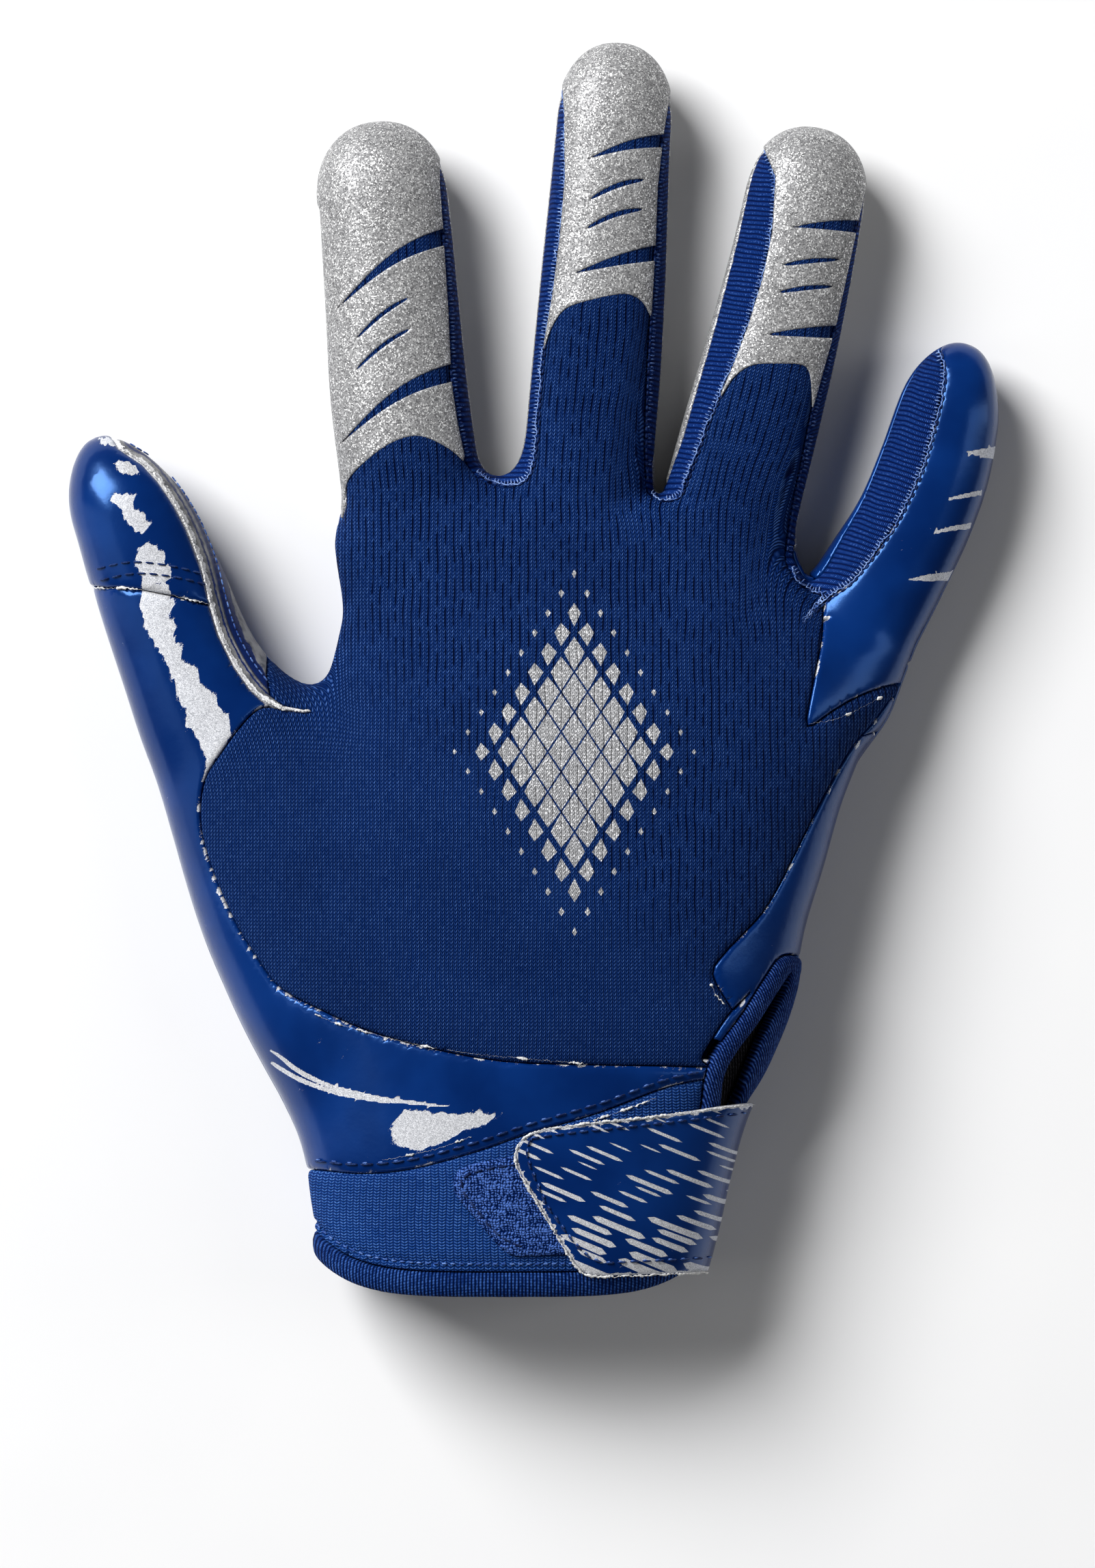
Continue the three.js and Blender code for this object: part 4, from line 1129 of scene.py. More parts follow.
    def dressed(self, part: Surface, sewing: Sewing, relief: np.ndarray | float = 0.0) -> Surface:
        """Gives a patch its thickness, its swell and its rolled edge.

        Args:
            part: the patch, on the form.
            sewing: how the panel lies.
            relief: what its face rises over that, in millimetres.

        Returns:
            The closed panel.
        """
        edge = np.maximum(part.data["edge"], 0.0)
        swell = sewing.puff * (1 - np.exp(-edge / sewing.puff_reach))
        rolled = sewing.roll * (1 - np.sqrt(1 - (1 - np.minimum(edge / sewing.reach, 1.0)) ** 2))
        normals = self.form.normals(part.points)
        outer = part.points + normals * (sewing.layer + swell - rolled + relief)[:, None]
        inner = part.points + normals * (sewing.layer - sewing.thickness)
        outer[:, 2] = np.maximum(outer[:, 2], 0.0)
        inner[:, 2] = np.maximum(inner[:, 2], min(WALL, sewing.thickness) / 2)
        return Surface(outer, part.faces, part.data).walled(inner)


def cloth_coordinates(points: np.ndarray) -> np.ndarray:
    """Places in the cloth, in millimetres.

    Args:
        points: places on the glove.

    Returns:
        One row for each: across the wales, which run on into the fingers, along them, and up.
    """
    half, middle = 46.0, 3.0  # of the palm
    straight_to, drawn, power = 0.55, 9.0, 1.5  # beyond that share of the half width the wales are drawn out
    begins, ends = (0.02, 0.42), (0.75, 1.0)  # of a finger's own wales, along it and beside it
    finger_height, turn_width = 10.0, 0.47  # the width is that of one radian, of the finger's width
    share = (points[:, 0] - middle) / half
    across = points[:, 0] + np.sign(share) * drawn * np.maximum(np.abs(share) - straight_to, 0.0) ** power
    along = points[:, 1].copy()
    for finger in FINGERS.values():
        up, right = finger.local(points)
        inside = ease(up, *begins) * (1 - ease(np.abs(right) / finger.width, *ends))
        height = np.maximum(points[:, 2] - finger.seam, 0.0) / finger_height
        turn = np.arctan2(right / (finger.width / 2), height)
        root = on_palm([finger.root])[0]
        across += inside * (root[0] + turn * finger.width * turn_width - across)
        along += inside * (root[1] + up * finger.length - along)
    return np.column_stack([across, along, points[:, 2]])


def sideways(line: np.ndarray) -> np.ndarray:
    """The direction square to a plan line at each of its points."""
    ahead = np.gradient(line, axis=0)
    ahead /= np.maximum(np.linalg.norm(ahead, axis=1, keepdims=True), TINY)
    return np.column_stack([ahead[:, 1], -ahead[:, 0]])


class Thread:
    """Builds threads, each a round tube along a line."""

    def __init__(self, radius: float, sides: int = 6) -> None:
        """Starts with no thread. The radius is in millimetres."""
        self.radius = radius
        self.sides = sides
        self.points: list[np.ndarray] = []
        self.faces: list[np.ndarray] = []
        self.count = 0

    def lay(self, line: np.ndarray, swell: np.ndarray | float = 1.0) -> None:
        """Adds a tube along a line, with its ends drawn in.

        Args:
            line: the points of its middle line.
            swell: its thickness at them, as a share of the usual.
        """
        end_share = 0.3
        ahead = np.gradient(line, axis=0)
        ahead /= np.maximum(np.linalg.norm(ahead, axis=1, keepdims=True), TINY)
        up = np.tile([0.0, 0.0, 1.0], (len(line), 1))
        side = np.cross(ahead, up)
        side /= np.maximum(np.linalg.norm(side, axis=1, keepdims=True), TINY)
        top = np.cross(side, ahead)
        size = np.full(len(line), self.radius) * swell
        size[[0, -1]] *= end_share
        turns = np.linspace(0, 2 * np.pi, self.sides, endpoint=False)
        ring = np.cos(turns)[:, None, None] * side + np.sin(turns)[:, None, None] * top
        points = (line + ring * size[:, None]).transpose(1, 0, 2).reshape(-1, 3)
        rings = len(line)
        a = (np.arange(rings - 1)[:, None] * self.sides + np.arange(self.sides)).ravel()
        b = (np.arange(rings - 1)[:, None] * self.sides + (np.arange(self.sides) + 1) % self.sides).ravel()
        walls = [np.stack([a, b, b + self.sides], 1), np.stack([a, b + self.sides, a + self.sides], 1)]
        fan = np.arange(1, self.sides - 1)
        start = np.stack([np.zeros_like(fan), fan + 1, fan], 1)
        end = np.stack([np.zeros_like(fan), fan, fan + 1], 1) + (rings - 1) * self.sides
        self.points.append(points)
        self.faces.append(np.concatenate([*walls, start, end]) + self.count)
        self.count += len(points)

    def surface(self) -> Surface:
        """All the tubes as one surface."""
        return Surface(np.vstack(self.points), np.vstack(self.faces))


class Topography:
    """Finds the glove's upper face under places of the plan."""

    def __init__(self, form: HandForm, skin: Surface) -> None:
        """Keeps a search tree of the skin."""
        self.form = form
        self.tree = BVHTree.FromPolygons(skin.points.tolist(), skin.faces.tolist())

    def drape(self, line: np.ndarray, lift: float) -> tuple[np.ndarray, np.ndarray]:
        """Lays a line on the upper face.

        Args:
            line: the line, drawn as it is seen from above.
            lift: how far over the face it lies.

        Returns:
            Its points, misses left out, and which of the line's places they come from.
        """
        eye = Vector((*SIGHT_MIDDLE, SIGHT_HEIGHT + SIGHT_LEVEL))
        hits, kept = [], []
        for i, (x, y) in enumerate(line):
            found = self.tree.ray_cast(eye, (Vector((x, y, SIGHT_LEVEL)) - eye).normalized())[0]
            if found is not None:
                hits.append(found)
                kept.append(i)
        if not hits:
            return np.zeros((0, 3)), np.zeros(0, int)
        points = self.form.settle(np.array(hits), 1)
        return points + self.form.normals(points) * lift, np.array(kept)

    def below(self, line: np.ndarray) -> np.ndarray:
        """Where the upper face under a line of the plan is seen. Misses are left out."""
        over, down = 99.0, Vector((0.0, 0.0, -1.0))
        hits = [self.tree.ray_cast(Vector((x, y, over)), down)[0] for x, y in line]
        return seen(np.array([hit for hit in hits if hit is not None]))


def make_object(name: str, surface: Surface, material: bpy.types.Material) -> bpy.types.Object:
    """Makes a piece from a surface in the plan's millimetres.

    Args:
        name: the piece's name.
        surface: its triangles.
        material: its finish.

    Returns:
        The object, in metres in the row's frame, with the surface's data as attributes.
    """
    mesh = bpy.data.meshes.new(name)
    points = ((surface.points + PLAN_SHIFT) * METRE).astype(np.float32)
    mesh.vertices.add(len(points))
    mesh.vertices.foreach_set("co", points.ravel())
    faces = surface.faces.astype(np.int32)
    mesh.loops.add(faces.size)
    mesh.loops.foreach_set("vertex_index", faces.ravel())
    mesh.polygons.add(len(faces))
    mesh.polygons.foreach_set("loop_start", np.arange(0, faces.size, 3, dtype=np.int32))
    mesh.polygons.foreach_set("loop_total", np.full(len(faces), 3, dtype=np.int32))
    for key, values in surface.data.items():
        kind, label = ("FLOAT_VECTOR", "vector") if values.ndim > 1 else ("FLOAT", "value")
        attribute = mesh.attributes.new(key, kind, "POINT")
        attribute.data.foreach_set(label, values.astype(np.float32).ravel())
    mesh.update(calc_edges=True)
    mesh.validate()
    mesh.shade_smooth()
    mesh.materials.append(material)
    piece = bpy.data.objects.new(name, mesh)
    bpy.context.scene.collection.objects.link(piece)
    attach(piece, BODY)
    return piece


Colour = tuple[float, float, float]


def linear(red: int, green: int, blue: int) -> Colour:
    """A scene colour from the photograph's colour, 0 to 255."""

    def channel(value: int) -> float:
        """One channel without its gamma."""
        share = value / 255
        return share / 12.92 if share <= 0.04045 else ((share + 0.055) / 1.055) ** 2.4

    return channel(red), channel(green), channel(blue)


class Value:
    """A number that varies over a surface, as a socket in a node tree."""

    def __init__(self, graph: Graph, socket: bpy.types.NodeSocket) -> None:
        """Wraps a socket."""
        self.graph = graph
        self.socket = socket

    def _math(self, operation: str, *inputs: Value | float) -> Value:
        """Adds a Math node."""
        return self.graph.math(operation, *inputs)

    def __add__(self, other: Value | float) -> Value:
        """The sum."""
        return self._math("ADD", self, other)

    __radd__ = __add__

    def __sub__(self, other: Value | float) -> Value:
        """The difference."""
        return self._math("SUBTRACT", self, other)

    def __rsub__(self, other: float) -> Value:
        """The difference the other way round."""
        return self._math("SUBTRACT", other, self)

    def __mul__(self, other: Value | float) -> Value:
        """The product."""
        return self._math("MULTIPLY", self, other)

    __rmul__ = __mul__

    def __truediv__(self, other: Value | float) -> Value:
        """The quotient."""
        return self._math("DIVIDE", self, other)

    def __abs__(self) -> Value:
        """The size without its sign."""
        return self._math("ABSOLUTE", self)

    def fraction(self) -> Value:
        """What is over the whole number below it."""
        return self._math("FRACT", self)

    def whole(self) -> Value:
        """The whole number below it."""
        return self._math("FLOOR", self)

    def most(self, other: Value | float) -> Value:
        """The larger of the two."""
        return self._math("MAXIMUM", self, other)

    def least(self, other: Value | float) -> Value:
        """The smaller of the two."""
        return self._math("MINIMUM", self, other)

    def rises(self, low: float, high: float) -> Value:
        """Runs smoothly from 0 at low to 1 at high."""
        settings = {"interpolation_type": "SMOOTHSTEP"}
        inputs = {"Value": self, "From Min": low, "From Max": high}
        return Value(self.graph, self.graph.node("ShaderNodeMapRange", settings, inputs).outputs["Result"])

    def hump(self) -> Value:
        """A round hump over each whole number's span, from 0 to 1 and back."""
        centred = self.fraction() * 2 - 1
        return 1 - centred * centred


Input = Value | bpy.types.NodeSocket | float | Sequence[float]


class Graph:
    """A material's node tree, which starts with one glossy shader."""

    def __init__(self, name: str) -> None:
        """Makes the material."""
        self.material = bpy.data.materials.new(name)
        self.material.use_nodes = True
        self.tree = self.material.node_tree
        self.tree.nodes.clear()
        self.shader = self.node("ShaderNodeBsdfPrincipled")
        self.node("ShaderNodeOutputMaterial", {}, {"Surface": self.shader.outputs[0]})

    def node(self, kind: str, settings: dict | None = None, inputs: dict | None = None) -> bpy.types.Node:
        """Adds a node.

        Args:
            kind: Blender's name of the node's type.
            settings: its settings by name.
            inputs: values or sockets by the input's name or number.

        Returns:
            The node.
        """
        made = self.tree.nodes.new(kind)
        for key, value in (settings or {}).items():
            setattr(made, key, value)
        for key, value in (inputs or {}).items():
            self.feed(made.inputs[key], value)
        return made

    def feed(self, socket: bpy.types.NodeSocket, value: Input) -> None:
        """Links or sets one input."""
        if isinstance(value, Value):
            value = value.socket
        if isinstance(value, bpy.types.NodeSocket):
            self.tree.links.new(value, socket)
        else:
            socket.default_value = value

    def math(self, operation: str, *inputs: Value | float) -> Value:
        """Adds a Math node and gives its result."""
        made = self.node("ShaderNodeMath", {"operation": operation}, dict(enumerate(inputs)))
        return Value(self, made.outputs[0])

    def attribute(self, name: str) -> Value:
        """The piece's own value of that name."""
        return Value(self, self.node("ShaderNodeAttribute", {"attribute_name": name}).outputs["Fac"])

    def cloth(self) -> tuple[Value, Value, Value]:
        """The place in the cloth, in millimetres: across, along and up."""
        vector = self.node("ShaderNodeAttribute", {"attribute_name": "cloth"}).outputs["Vector"]
        parts = self.node("ShaderNodeSeparateXYZ", {}, {0: vector})
        return tuple(Value(self, socket) for socket in parts.outputs)

    def vector(self, x: Value | float, y: Value | float, z: Value | float = 0.0) -> bpy.types.NodeSocket:
        """A vector of three numbers."""
        return self.node("ShaderNodeCombineXYZ", {}, {0: x, 1: y, 2: z}).outputs[0]

    def place(self) -> bpy.types.NodeSocket:
        """The place on the piece, in millimetres."""
        inputs = {0: self.node("ShaderNodeTexCoord").outputs["Object"], "Scale": 1 / METRE}
        return self.node("ShaderNodeVectorMath", {"operation": "SCALE"}, inputs).outputs[0]

    def noise(self, vector: bpy.types.NodeSocket, size: float, detail: float = 2.0) -> Value:
        """Cloudy noise round 0.5, whose features are about so many of the vector's units across."""
        inputs = {"Vector": vector, "Scale": 1 / size, "Detail": detail}
        return Value(self, self.node("ShaderNodeTexNoise", {}, inputs).outputs["Fac"])

    def flakes(self, vector: bpy.types.NodeSocket, size: float) -> tuple[Value, Value]:
        """Random cells of about that size: two random numbers for each."""
        made = self.node("ShaderNodeTexVoronoi", {}, {"Vector": vector, "Scale": 1 / size})
        parts = self.node("ShaderNodeSeparateColor", {}, {0: made.outputs["Color"]})
        return Value(self, parts.outputs[0]), Value(self, parts.outputs[1])

    def colour(self, factor: Value | float, low: Input, high: Input) -> bpy.types.NodeSocket:
        """Mixes two colours."""
        ends = [(*end, 1.0) if isinstance(end, tuple) else end for end in (low, high)]
        inputs = {0: factor, 6: ends[0], 7: ends[1]}
        return self.node("ShaderNodeMix", {"data_type": "RGBA"}, inputs).outputs[2]

    def bump(self, height: Value, distance: float, strength: float = 1.0) -> None:
        """Raises the surface by the height times a distance in millimetres."""
        inputs = {"Height": height, "Distance": distance * METRE, "Strength": strength}
        self.feed(self.shader.inputs["Normal"], self.node("ShaderNodeBump", {}, inputs).outputs[0])

    def set(self, **inputs: Input) -> None:
        """Sets the shader's inputs, an underscore standing for a space in a name."""
        for key, value in inputs.items():
            filled = (*value, 1.0) if isinstance(value, tuple) else value
            self.feed(self.shader.inputs[key.replace("_", " ")], filled)


class Slot(Enum):
    """The material slots that the solids' record names."""

    BACK_KNIT = "back_knit"
    CUFF_KNIT = "cuff_knit"
    BINDING = "binding"
    SIDE_MESH = "side_mesh"
    GLOSSY_FILM = "glossy_film"
    SILVER_FILM = "silver_film"
    LOOP_PILE = "loop_pile"
    DARK_CLOTH = "dark_cloth"


@dataclass(frozen=True)
class Finish:
    """A finish: its material's name and the slot that it fills."""

    name: str
    slot: Slot

    def material(self) -> bpy.types.Material:
        """Makes the material."""
        graph = Graph(self.name)
        self.paint(graph)
        return graph.material

    def paint(self, graph: Graph) -> None:
        """Lays out the shader's nodes.

        Args:
            graph: the material's node tree.
        """
        raise NotImplementedError


@dataclass(frozen=True)
class Emblem:
    """A generic print of small silver lozenges, which shrink towards the print's border."""

    middle: tuple[float, float] = (6.5, 95.5)
    half_width: float = 23.0
    half_height: float = 36.0
    pitch: float = 4.6
    lean: float = 1.5  # how much longer than wide a lozenge is
    fade: tuple[float, float] = (-0.1, 0.62)  # the nearness to the middle over which they grow
    full: float = 0.47  # half a lozenge's side at its largest, of the pitch
    least: float = 0.06  # what is smaller is left out

    def mask(self, graph: Graph) -> Value:
        """1 on the print and 0 off it."""
        across, along, _ = graph.cloth()
        x = across - self.middle[0]
        y = along - self.middle[1]
        first = x / self.pitch + y / (self.pitch * self.lean)
        second = x / self.pitch - y / (self.pitch * self.lean)
        nearness = 1 - abs(x) / self.half_width - abs(y) / self.half_height
        size = nearness.rises(*self.fade) * self.full
        away = abs(first.fraction() - 0.5).most(abs(second.fraction() - 0.5))
        return (size - away).rises(0.0, 0.02) * (size - self.least).rises(0.0, 0.01)


@dataclass(frozen=True)
class Knit(Finish):
    """A fine knit. Each wale is a row of stitches with two slanted legs. Sizes are in millimetres."""

    shade: Colour
    # light is a lit copy of shade for the painted highlights on the yarn; dark a shaded copy for painted
    # shade between wales and in grooves
    light: Colour
    dark: Colour
    wale: float = 0.72
    course: float = 0.64
    slant: float = 0.5
    depth: float = 0.16
    far_leg: float = 0.2  # how much the left leg catches the light, of what the right one does
    grooves: float = 0.0  # how dark the painted shade in the broken grooves between pairs of wales is
    ribs_from: float = 0.68  # where the grooves and their painted shade deepen, in tenths of a metre from the wrist
    emblem: Emblem | None = None

    def paint(self, graph: Graph) -> None:
        """Lays out the stitches with painted highlights and painted shade, and the print if there is one."""
        across, along, up = graph.cloth()
        drift = graph.noise(graph.vector(across, along, up), 9.0, 1.0) - 0.5
        wales = (across + drift * 0.9) / self.wale
        leg = wales.fraction() - 0.5
        side = abs(leg) * 2
        courses = along / self.course - side * self.slant * 2
        yarn = courses.hump()
        grain = graph.noise(graph.vector(across * 4, along * 1.6, up * 4), 1.0, 3.0)
        lit = graph.noise(graph.vector(wales.whole() * 3.7, courses.whole() * 1.9, 0.0), 1.3, 0.0)
        near_leg = leg.rises(-0.02, 0.1) * (1 - self.far_leg) + self.far_leg
        middle = (1 - abs(side - 0.5) * 2).rises(0.1, 0.55)
        # Painted highlights: light dashes where the yarn's legs catch the light
        highlight_dash = yarn.rises(0.6, 0.98) * middle * near_leg * (lit * 1.1 + grain * 0.6 - 0.25)
        cloud = graph.noise(graph.vector(across, along, up), 16.0, 3.0)
        pair = wales / 2
        broken = graph.noise(graph.vector((pair + 0.5).whole() * 5.3, along * 0.28, 0.0), 1.0, 2.0)
        where = ((along + across * 0.9) / 100).rises(self.ribs_from, self.ribs_from + 0.3)
        # The grooves are real relief; their dark colour is painted shade
        groove = (1 - pair.hump()).rises(0.45, 0.8) * broken.rises(0.38, 0.55)
        groove = groove * (where * 0.85 + 0.15) * self.grooves
        # Painted shade: darker between the wales and in the hollows between courses
        body = (1 - side.rises(0.75, 1.0) * 0.6) * (yarn * 0.5 + 0.5) * (cloud * 0.6 + 0.6)
        ribbed = graph.colour(groove, graph.colour(body, self.dark, self.shade), self.dark)
        stitched = graph.colour(highlight_dash * (1 - groove) * (cloud * 0.5 + 0.6), ribbed, self.light)
        if self.emblem is not None:
            first, second = graph.flakes(graph.place(), 0.2)
            # The white flakes are painted glints, and the print dims a little in the yarn's hollows as
            # painted shade
            lustre = graph.colour(second.rises(0.8, 0.9), graph.colour(first, GREY, SILVER), WHITE)
            print_mask = self.emblem.mask(graph)
            stitched = graph.colour(print_mask * (0.86 + yarn * 0.14), stitched, lustre)
            graph.set(Metallic=print_mask * 0.5)
        graph.set(Base_Color=stitched, Roughness=0.7)
        graph.set(Specular_IOR_Level=0.02)
        graph.bump(yarn * (1 - side.rises(0.6, 1.0)) + grain * 0.2 - groove * 2.5, self.depth)


@dataclass(frozen=True)
class Dashes:
    """A print of slanted dashes, which grow thicker towards the cuff's edge. Sizes are in millimetres."""

    slant: float = 24.0
    step: float = 1.75
    pitch: float = 10.5
    low: float = 4.0  # along the glove, where they are thickest
    high: float = 31.0  # and thinnest

    def mask(self, graph: Graph) -> Value:
        """How much of the print lies over a place."""
        across, along, _ = graph.cloth()
        cosine, sine = math.cos(math.radians(self.slant)), math.sin(math.radians(self.slant))
        ahead = across * cosine - along * sine
        rows = (across * sine + along * cosine) / self.step
        row = rows.whole()
        jitter = graph.noise(graph.vector(row * 7.3, 0.5, 2.5), 1.0, 0.0)
        columns = ahead / self.pitch + jitter * 9
        jump = graph.noise(graph.vector(row * 3.1, columns.whole() * 5.7, 0.5), 1.0, 0.0).rises(0.2, 0.8)
        share = columns.fraction()
        down = (self.high - along) / (self.high - self.low)
        thick = down * down * 0.3 + 0.07 + jump * 0.12
        away = abs(rows.fraction() - 0.5 + (jump - 0.5) * 0.4)
        ends = (share * 9).least(1.0) * ((down * 0.3 + jump * 0.45 + 0.3 - share) * 9).least(1.0)
        shape = ends.most(0.0) * 1.15 - 0.15
        return (thick * shape - away).rises(-0.01, 0.03)


@dataclass(frozen=True)
class Film(Finish):
    """Glossy grip film over leather, silver where the piece's own value of wear and highlight says: real wear
    at edges, painted highlights drawn as wear.
    """

    shade: Colour
    deep: Colour
    silver: Colour
    gleam: Colour = (0.16, 0.42, 1.0)
    grain: float = 0.05
    dashes: Dashes | None = None

    def paint(self, graph: Graph) -> None:
        """Lays out the film, its print, its wear and its painted highlights."""
        place = graph.place()
        across, along, up = graph.cloth()
        cloud = graph.noise(place, 16.0, 3.0)
        fine = graph.noise(place, 0.5, 2.0)
        crease = graph.noise(place, 3.2, 4.0)
        streaked = graph.vector(across * 0.2 + along * 0.24, along * 0.75 - across * 0.9, up * 0.5)
        ragged = graph.noise(streaked, 1.3, 6.0)
        patchy = graph.noise(place, 5.0, 5.0)
        # The piece's value holds real wear and painted highlights drawn as wear; both bare a silver ground
        rough = graph.attribute("worn") + (ragged - 0.5) * 1.3 + (patchy - 0.5) * 0.6
        printed = graph.attribute("print").rises(0.4, 0.6)
        if self.dashes is not None:
            printed = printed.most(self.dashes.mask(graph))
        first, second = graph.flakes(place, 0.11)
        bare_and_highlight = rough.rises(0.42, 0.48).most(printed * (first * 2.0 + fine * 1.4).rises(0.15, 0.5))
        bare_and_highlight = bare_and_highlight.most(second.rises(0.9, 0.94) * rough.rises(0.3, 0.42))
        blue = graph.colour(cloud.rises(0.35, 0.7), self.deep, self.shade)
        # The silver and white colour of those places is partly a painted highlight
        shine = graph.colour(first * 0.8 + fine * 0.5 - 0.1, self.silver, WHITE)
        graph.set(Base_Color=graph.colour(bare_and_highlight, blue, shine), Roughness=0.22 + bare_and_highlight * 0.3)
        graph.set(Specular_IOR_Level=0.75, Specular_Tint=self.gleam, Metallic=bare_and_highlight * 0.2)
        graph.set(Coat_Weight=0.06 - bare_and_highlight * 0.05, Coat_Roughness=0.12, Coat_IOR=1.4)
        graph.bump(crease * 0.3 + fine * 0.1 + bare_and_highlight * (first * 0.3 - 0.5), self.grain * 2)


@dataclass(frozen=True)
class Rim(Finish):
    """The narrow strip beside the thumb's wrap: its cut white edge, grey film and a dark stitched groove."""

    shade: Colour
    dark: Colour
    groove: Colour

    def paint(self, graph: Graph) -> None:
        """Lays out the strip. The piece's own value strip is the distance from its edge, in millimetres."""
        place = graph.place()
        strip = graph.attribute("strip")
        ragged = graph.noise(place, 0.7, 5.0)
        cloud = graph.noise(place, 2.2, 3.0)
        fine = graph.noise(place, 0.25, 2.0)
        grey = graph.colour(cloud.rises(0.3, 0.65), self.dark, self.shade)
        lane = (strip - 1.9).rises(0.0, 0.3) * (1 - (strip + cloud - 4.2).rises(0.0, 0.3))
        grooved = graph.colour(lane, grey, self.groove)
        border = abs(strip + ragged * 0.5 - 1.75)
        lined = graph.colour(1 - border.rises(0.05, 0.25), grooved, self.groove)
        white = 1 - (strip + (ragged - 0.5) * 1.3).rises(0.75, 0.9)
        bright = graph.colour(fine.rises(0.3, 0.6), SILVER, WHITE)
        graph.set(Base_Color=graph.colour(white, lined, bright), Roughness=0.45, Specular_IOR_Level=0.25)
        graph.bump(white * 0.8 - lane * 0.6 + fine * 0.2 + ragged * white * 0.6, 0.3)


@dataclass(frozen=True)
class Glitter(Finish):
    """Silver film with flakes, the brightest of them painted white as glints."""

    shade: Colour
    # bright is the colour of the painted glints
    bright: Colour
    dark: Colour
    flake: float = 0.2

    def paint(self, graph: Graph) -> None:
        """Lays out the flakes."""
        place = graph.place()
        first, second = graph.flakes(place, self.flake)
        cloud = graph.noise(place, 5.0, 4.0)
        fine = graph.noise(place, 0.45, 3.0)
        base = graph.colour(first.rises(0.0, 0.7) * (0.55 + cloud * 0.7), self.dark, self.shade)
        # Painted glints: white sparks painted into the colour
        spark = second.rises(0.8, 0.9)
        graph.set(Base_Color=graph.colour(spark, base, self.bright), Roughness=0.6 - first * 0.15)
        graph.set(Metallic=0.3 + spark * 0.4, Specular_IOR_Level=0.2)
        graph.bump(fine * 0.8 + first * 0.5 + cloud * 2.0, 0.06)


@dataclass(frozen=True)
class Mesh(Finish):
    """A stretch mesh with fine dotted ribs across the panel."""

    shade: Colour
    light: Colour
    dark: Colour
    rib: float = 0.85
    dot: float = 0.5

    def paint(self, graph: Graph) -> None:
        """Lays out the ribs and their dots."""
        across, along, up = graph.cloth()
        drift = graph.noise(graph.vector(across, along, up), 6.0, 1.0) - 0.5
        ribs = ((along + drift * 0.8) / self.rib).hump()
        dots = (((across + up) / self.dot) + ((along / self.rib).whole() * 0.5)).hump()
        knots = ribs * (0.35 + dots * 0.65)
        grain = graph.noise(graph.vector(across * 3, along * 3, up * 3), 1.0, 2.0)
        # Painted shade between the knots and painted highlights on their tops
        base = graph.colour(knots.rises(0.1, 0.8), self.dark, self.shade)
        graph.set(Base_Color=graph.colour((knots * grain).rises(0.42, 0.7), base, self.light), Roughness=0.6)
        graph.set(Specular_IOR_Level=0.04)
        graph.bump(knots + grain * 0.2, 0.14)


@dataclass(frozen=True)
class Elastic(Finish):
    """Elastic with fine ribs. The slant says how far they lean: how much of along is added to across."""

    shade: Colour
    light: Colour
    dark: Colour
    rib: float = 0.62
    slant: float = 0.0

    def paint(self, graph: Graph) -> None:
        """Lays out the ribs."""
        across, along, up = graph.cloth()
        grain = graph.noise(graph.vector(across * 2, along * 2, up * 2), 1.0, 3.0)
        ribs = ((across + (along - up) * self.slant) / self.rib + (grain - 0.5) * 0.35).hump()
        steps = ((along - up * 0.8) / 0.42).hump()
        weave = ribs * (0.7 + steps * 0.3)
        cloud = graph.noise(graph.vector(across, along, up), 8.0, 2.0)
        # Painted shade between the ribs and painted highlights on their tops
        base = graph.colour(weave.rises(0.1, 0.85), self.dark, self.shade)
        graph.set(Base_Color=graph.colour((weave * (grain + cloud * 0.4)).rises(0.4, 0.85), base, self.light))
        graph.set(Roughness=0.72, Specular_IOR_Level=0.03)
        graph.bump(weave + grain * 0.3, 0.16)


@dataclass(frozen=True)
class Pile(Finish):
    """The loop pile of a fastener."""

    shade: Colour
    light: Colour
    dark: Colour

    def paint(self, graph: Graph) -> None:
        """Lays out the loops."""
        place = graph.place()
        across, along, _ = graph.cloth()
        fuzz = graph.noise(place, 0.42, 5.0)
        tufts = graph.noise(place, 1.5, 3.0)
        grid = ((across + tufts * 1.5) / 0.55).hump() * ((along + tufts * 1.5) / 0.5).hump()
        # Painted shade between the loops and painted highlights on their tops
        base = graph.colour(grid * 0.45 + fuzz * 0.8 - 0.15, self.dark, self.shade)
        loops = (grid * 0.35 + fuzz * 0.8 + tufts * 0.5).rises(0.72, 0.98)
        graph.set(Base_Color=graph.colour(loops, base, self.light), Roughness=0.9)
        graph.set(Specular_IOR_Level=0.02)
        graph.bump(grid * 0.4 + fuzz + tufts, 0.25)


@dataclass(frozen=True)
class Yarn(Finish):
    """Twisted sewing thread."""

    shade: Colour
    light: Colour

    def paint(self, graph: Graph) -> None:
        """Lays out the fibres."""
        place = graph.place()
        fuzz = graph.noise(place, 0.18, 4.0)
        cloud = graph.noise(place, 1.2, 2.0)
        twisted = graph.colour((fuzz * cloud).rises(0.15, 0.4), self.shade, self.light)
        graph.set(Base_Color=twisted, Roughness=0.65)
        graph.set(Sheen_Weight=0.08, Sheen_Roughness=0.4, Specular_IOR_Level=0.08)
        graph.bump(fuzz, 0.05)


# NAVY_LIGHT and NAVY_DARK are lit and shaded copies of NAVY, for the back knit's painted highlights and
# painted shade
NAVY = linear(8, 40, 98)
NAVY_LIGHT = linear(80, 118, 184)
NAVY_DARK = linear(0, 6, 40)
SILVER = linear(190, 191, 193)
GREY = linear(146, 146, 148)
WHITE = linear(246, 246, 248)
FILM_BLUE = linear(7, 45, 110)
FILM_DEEP = linear(3, 34, 92)

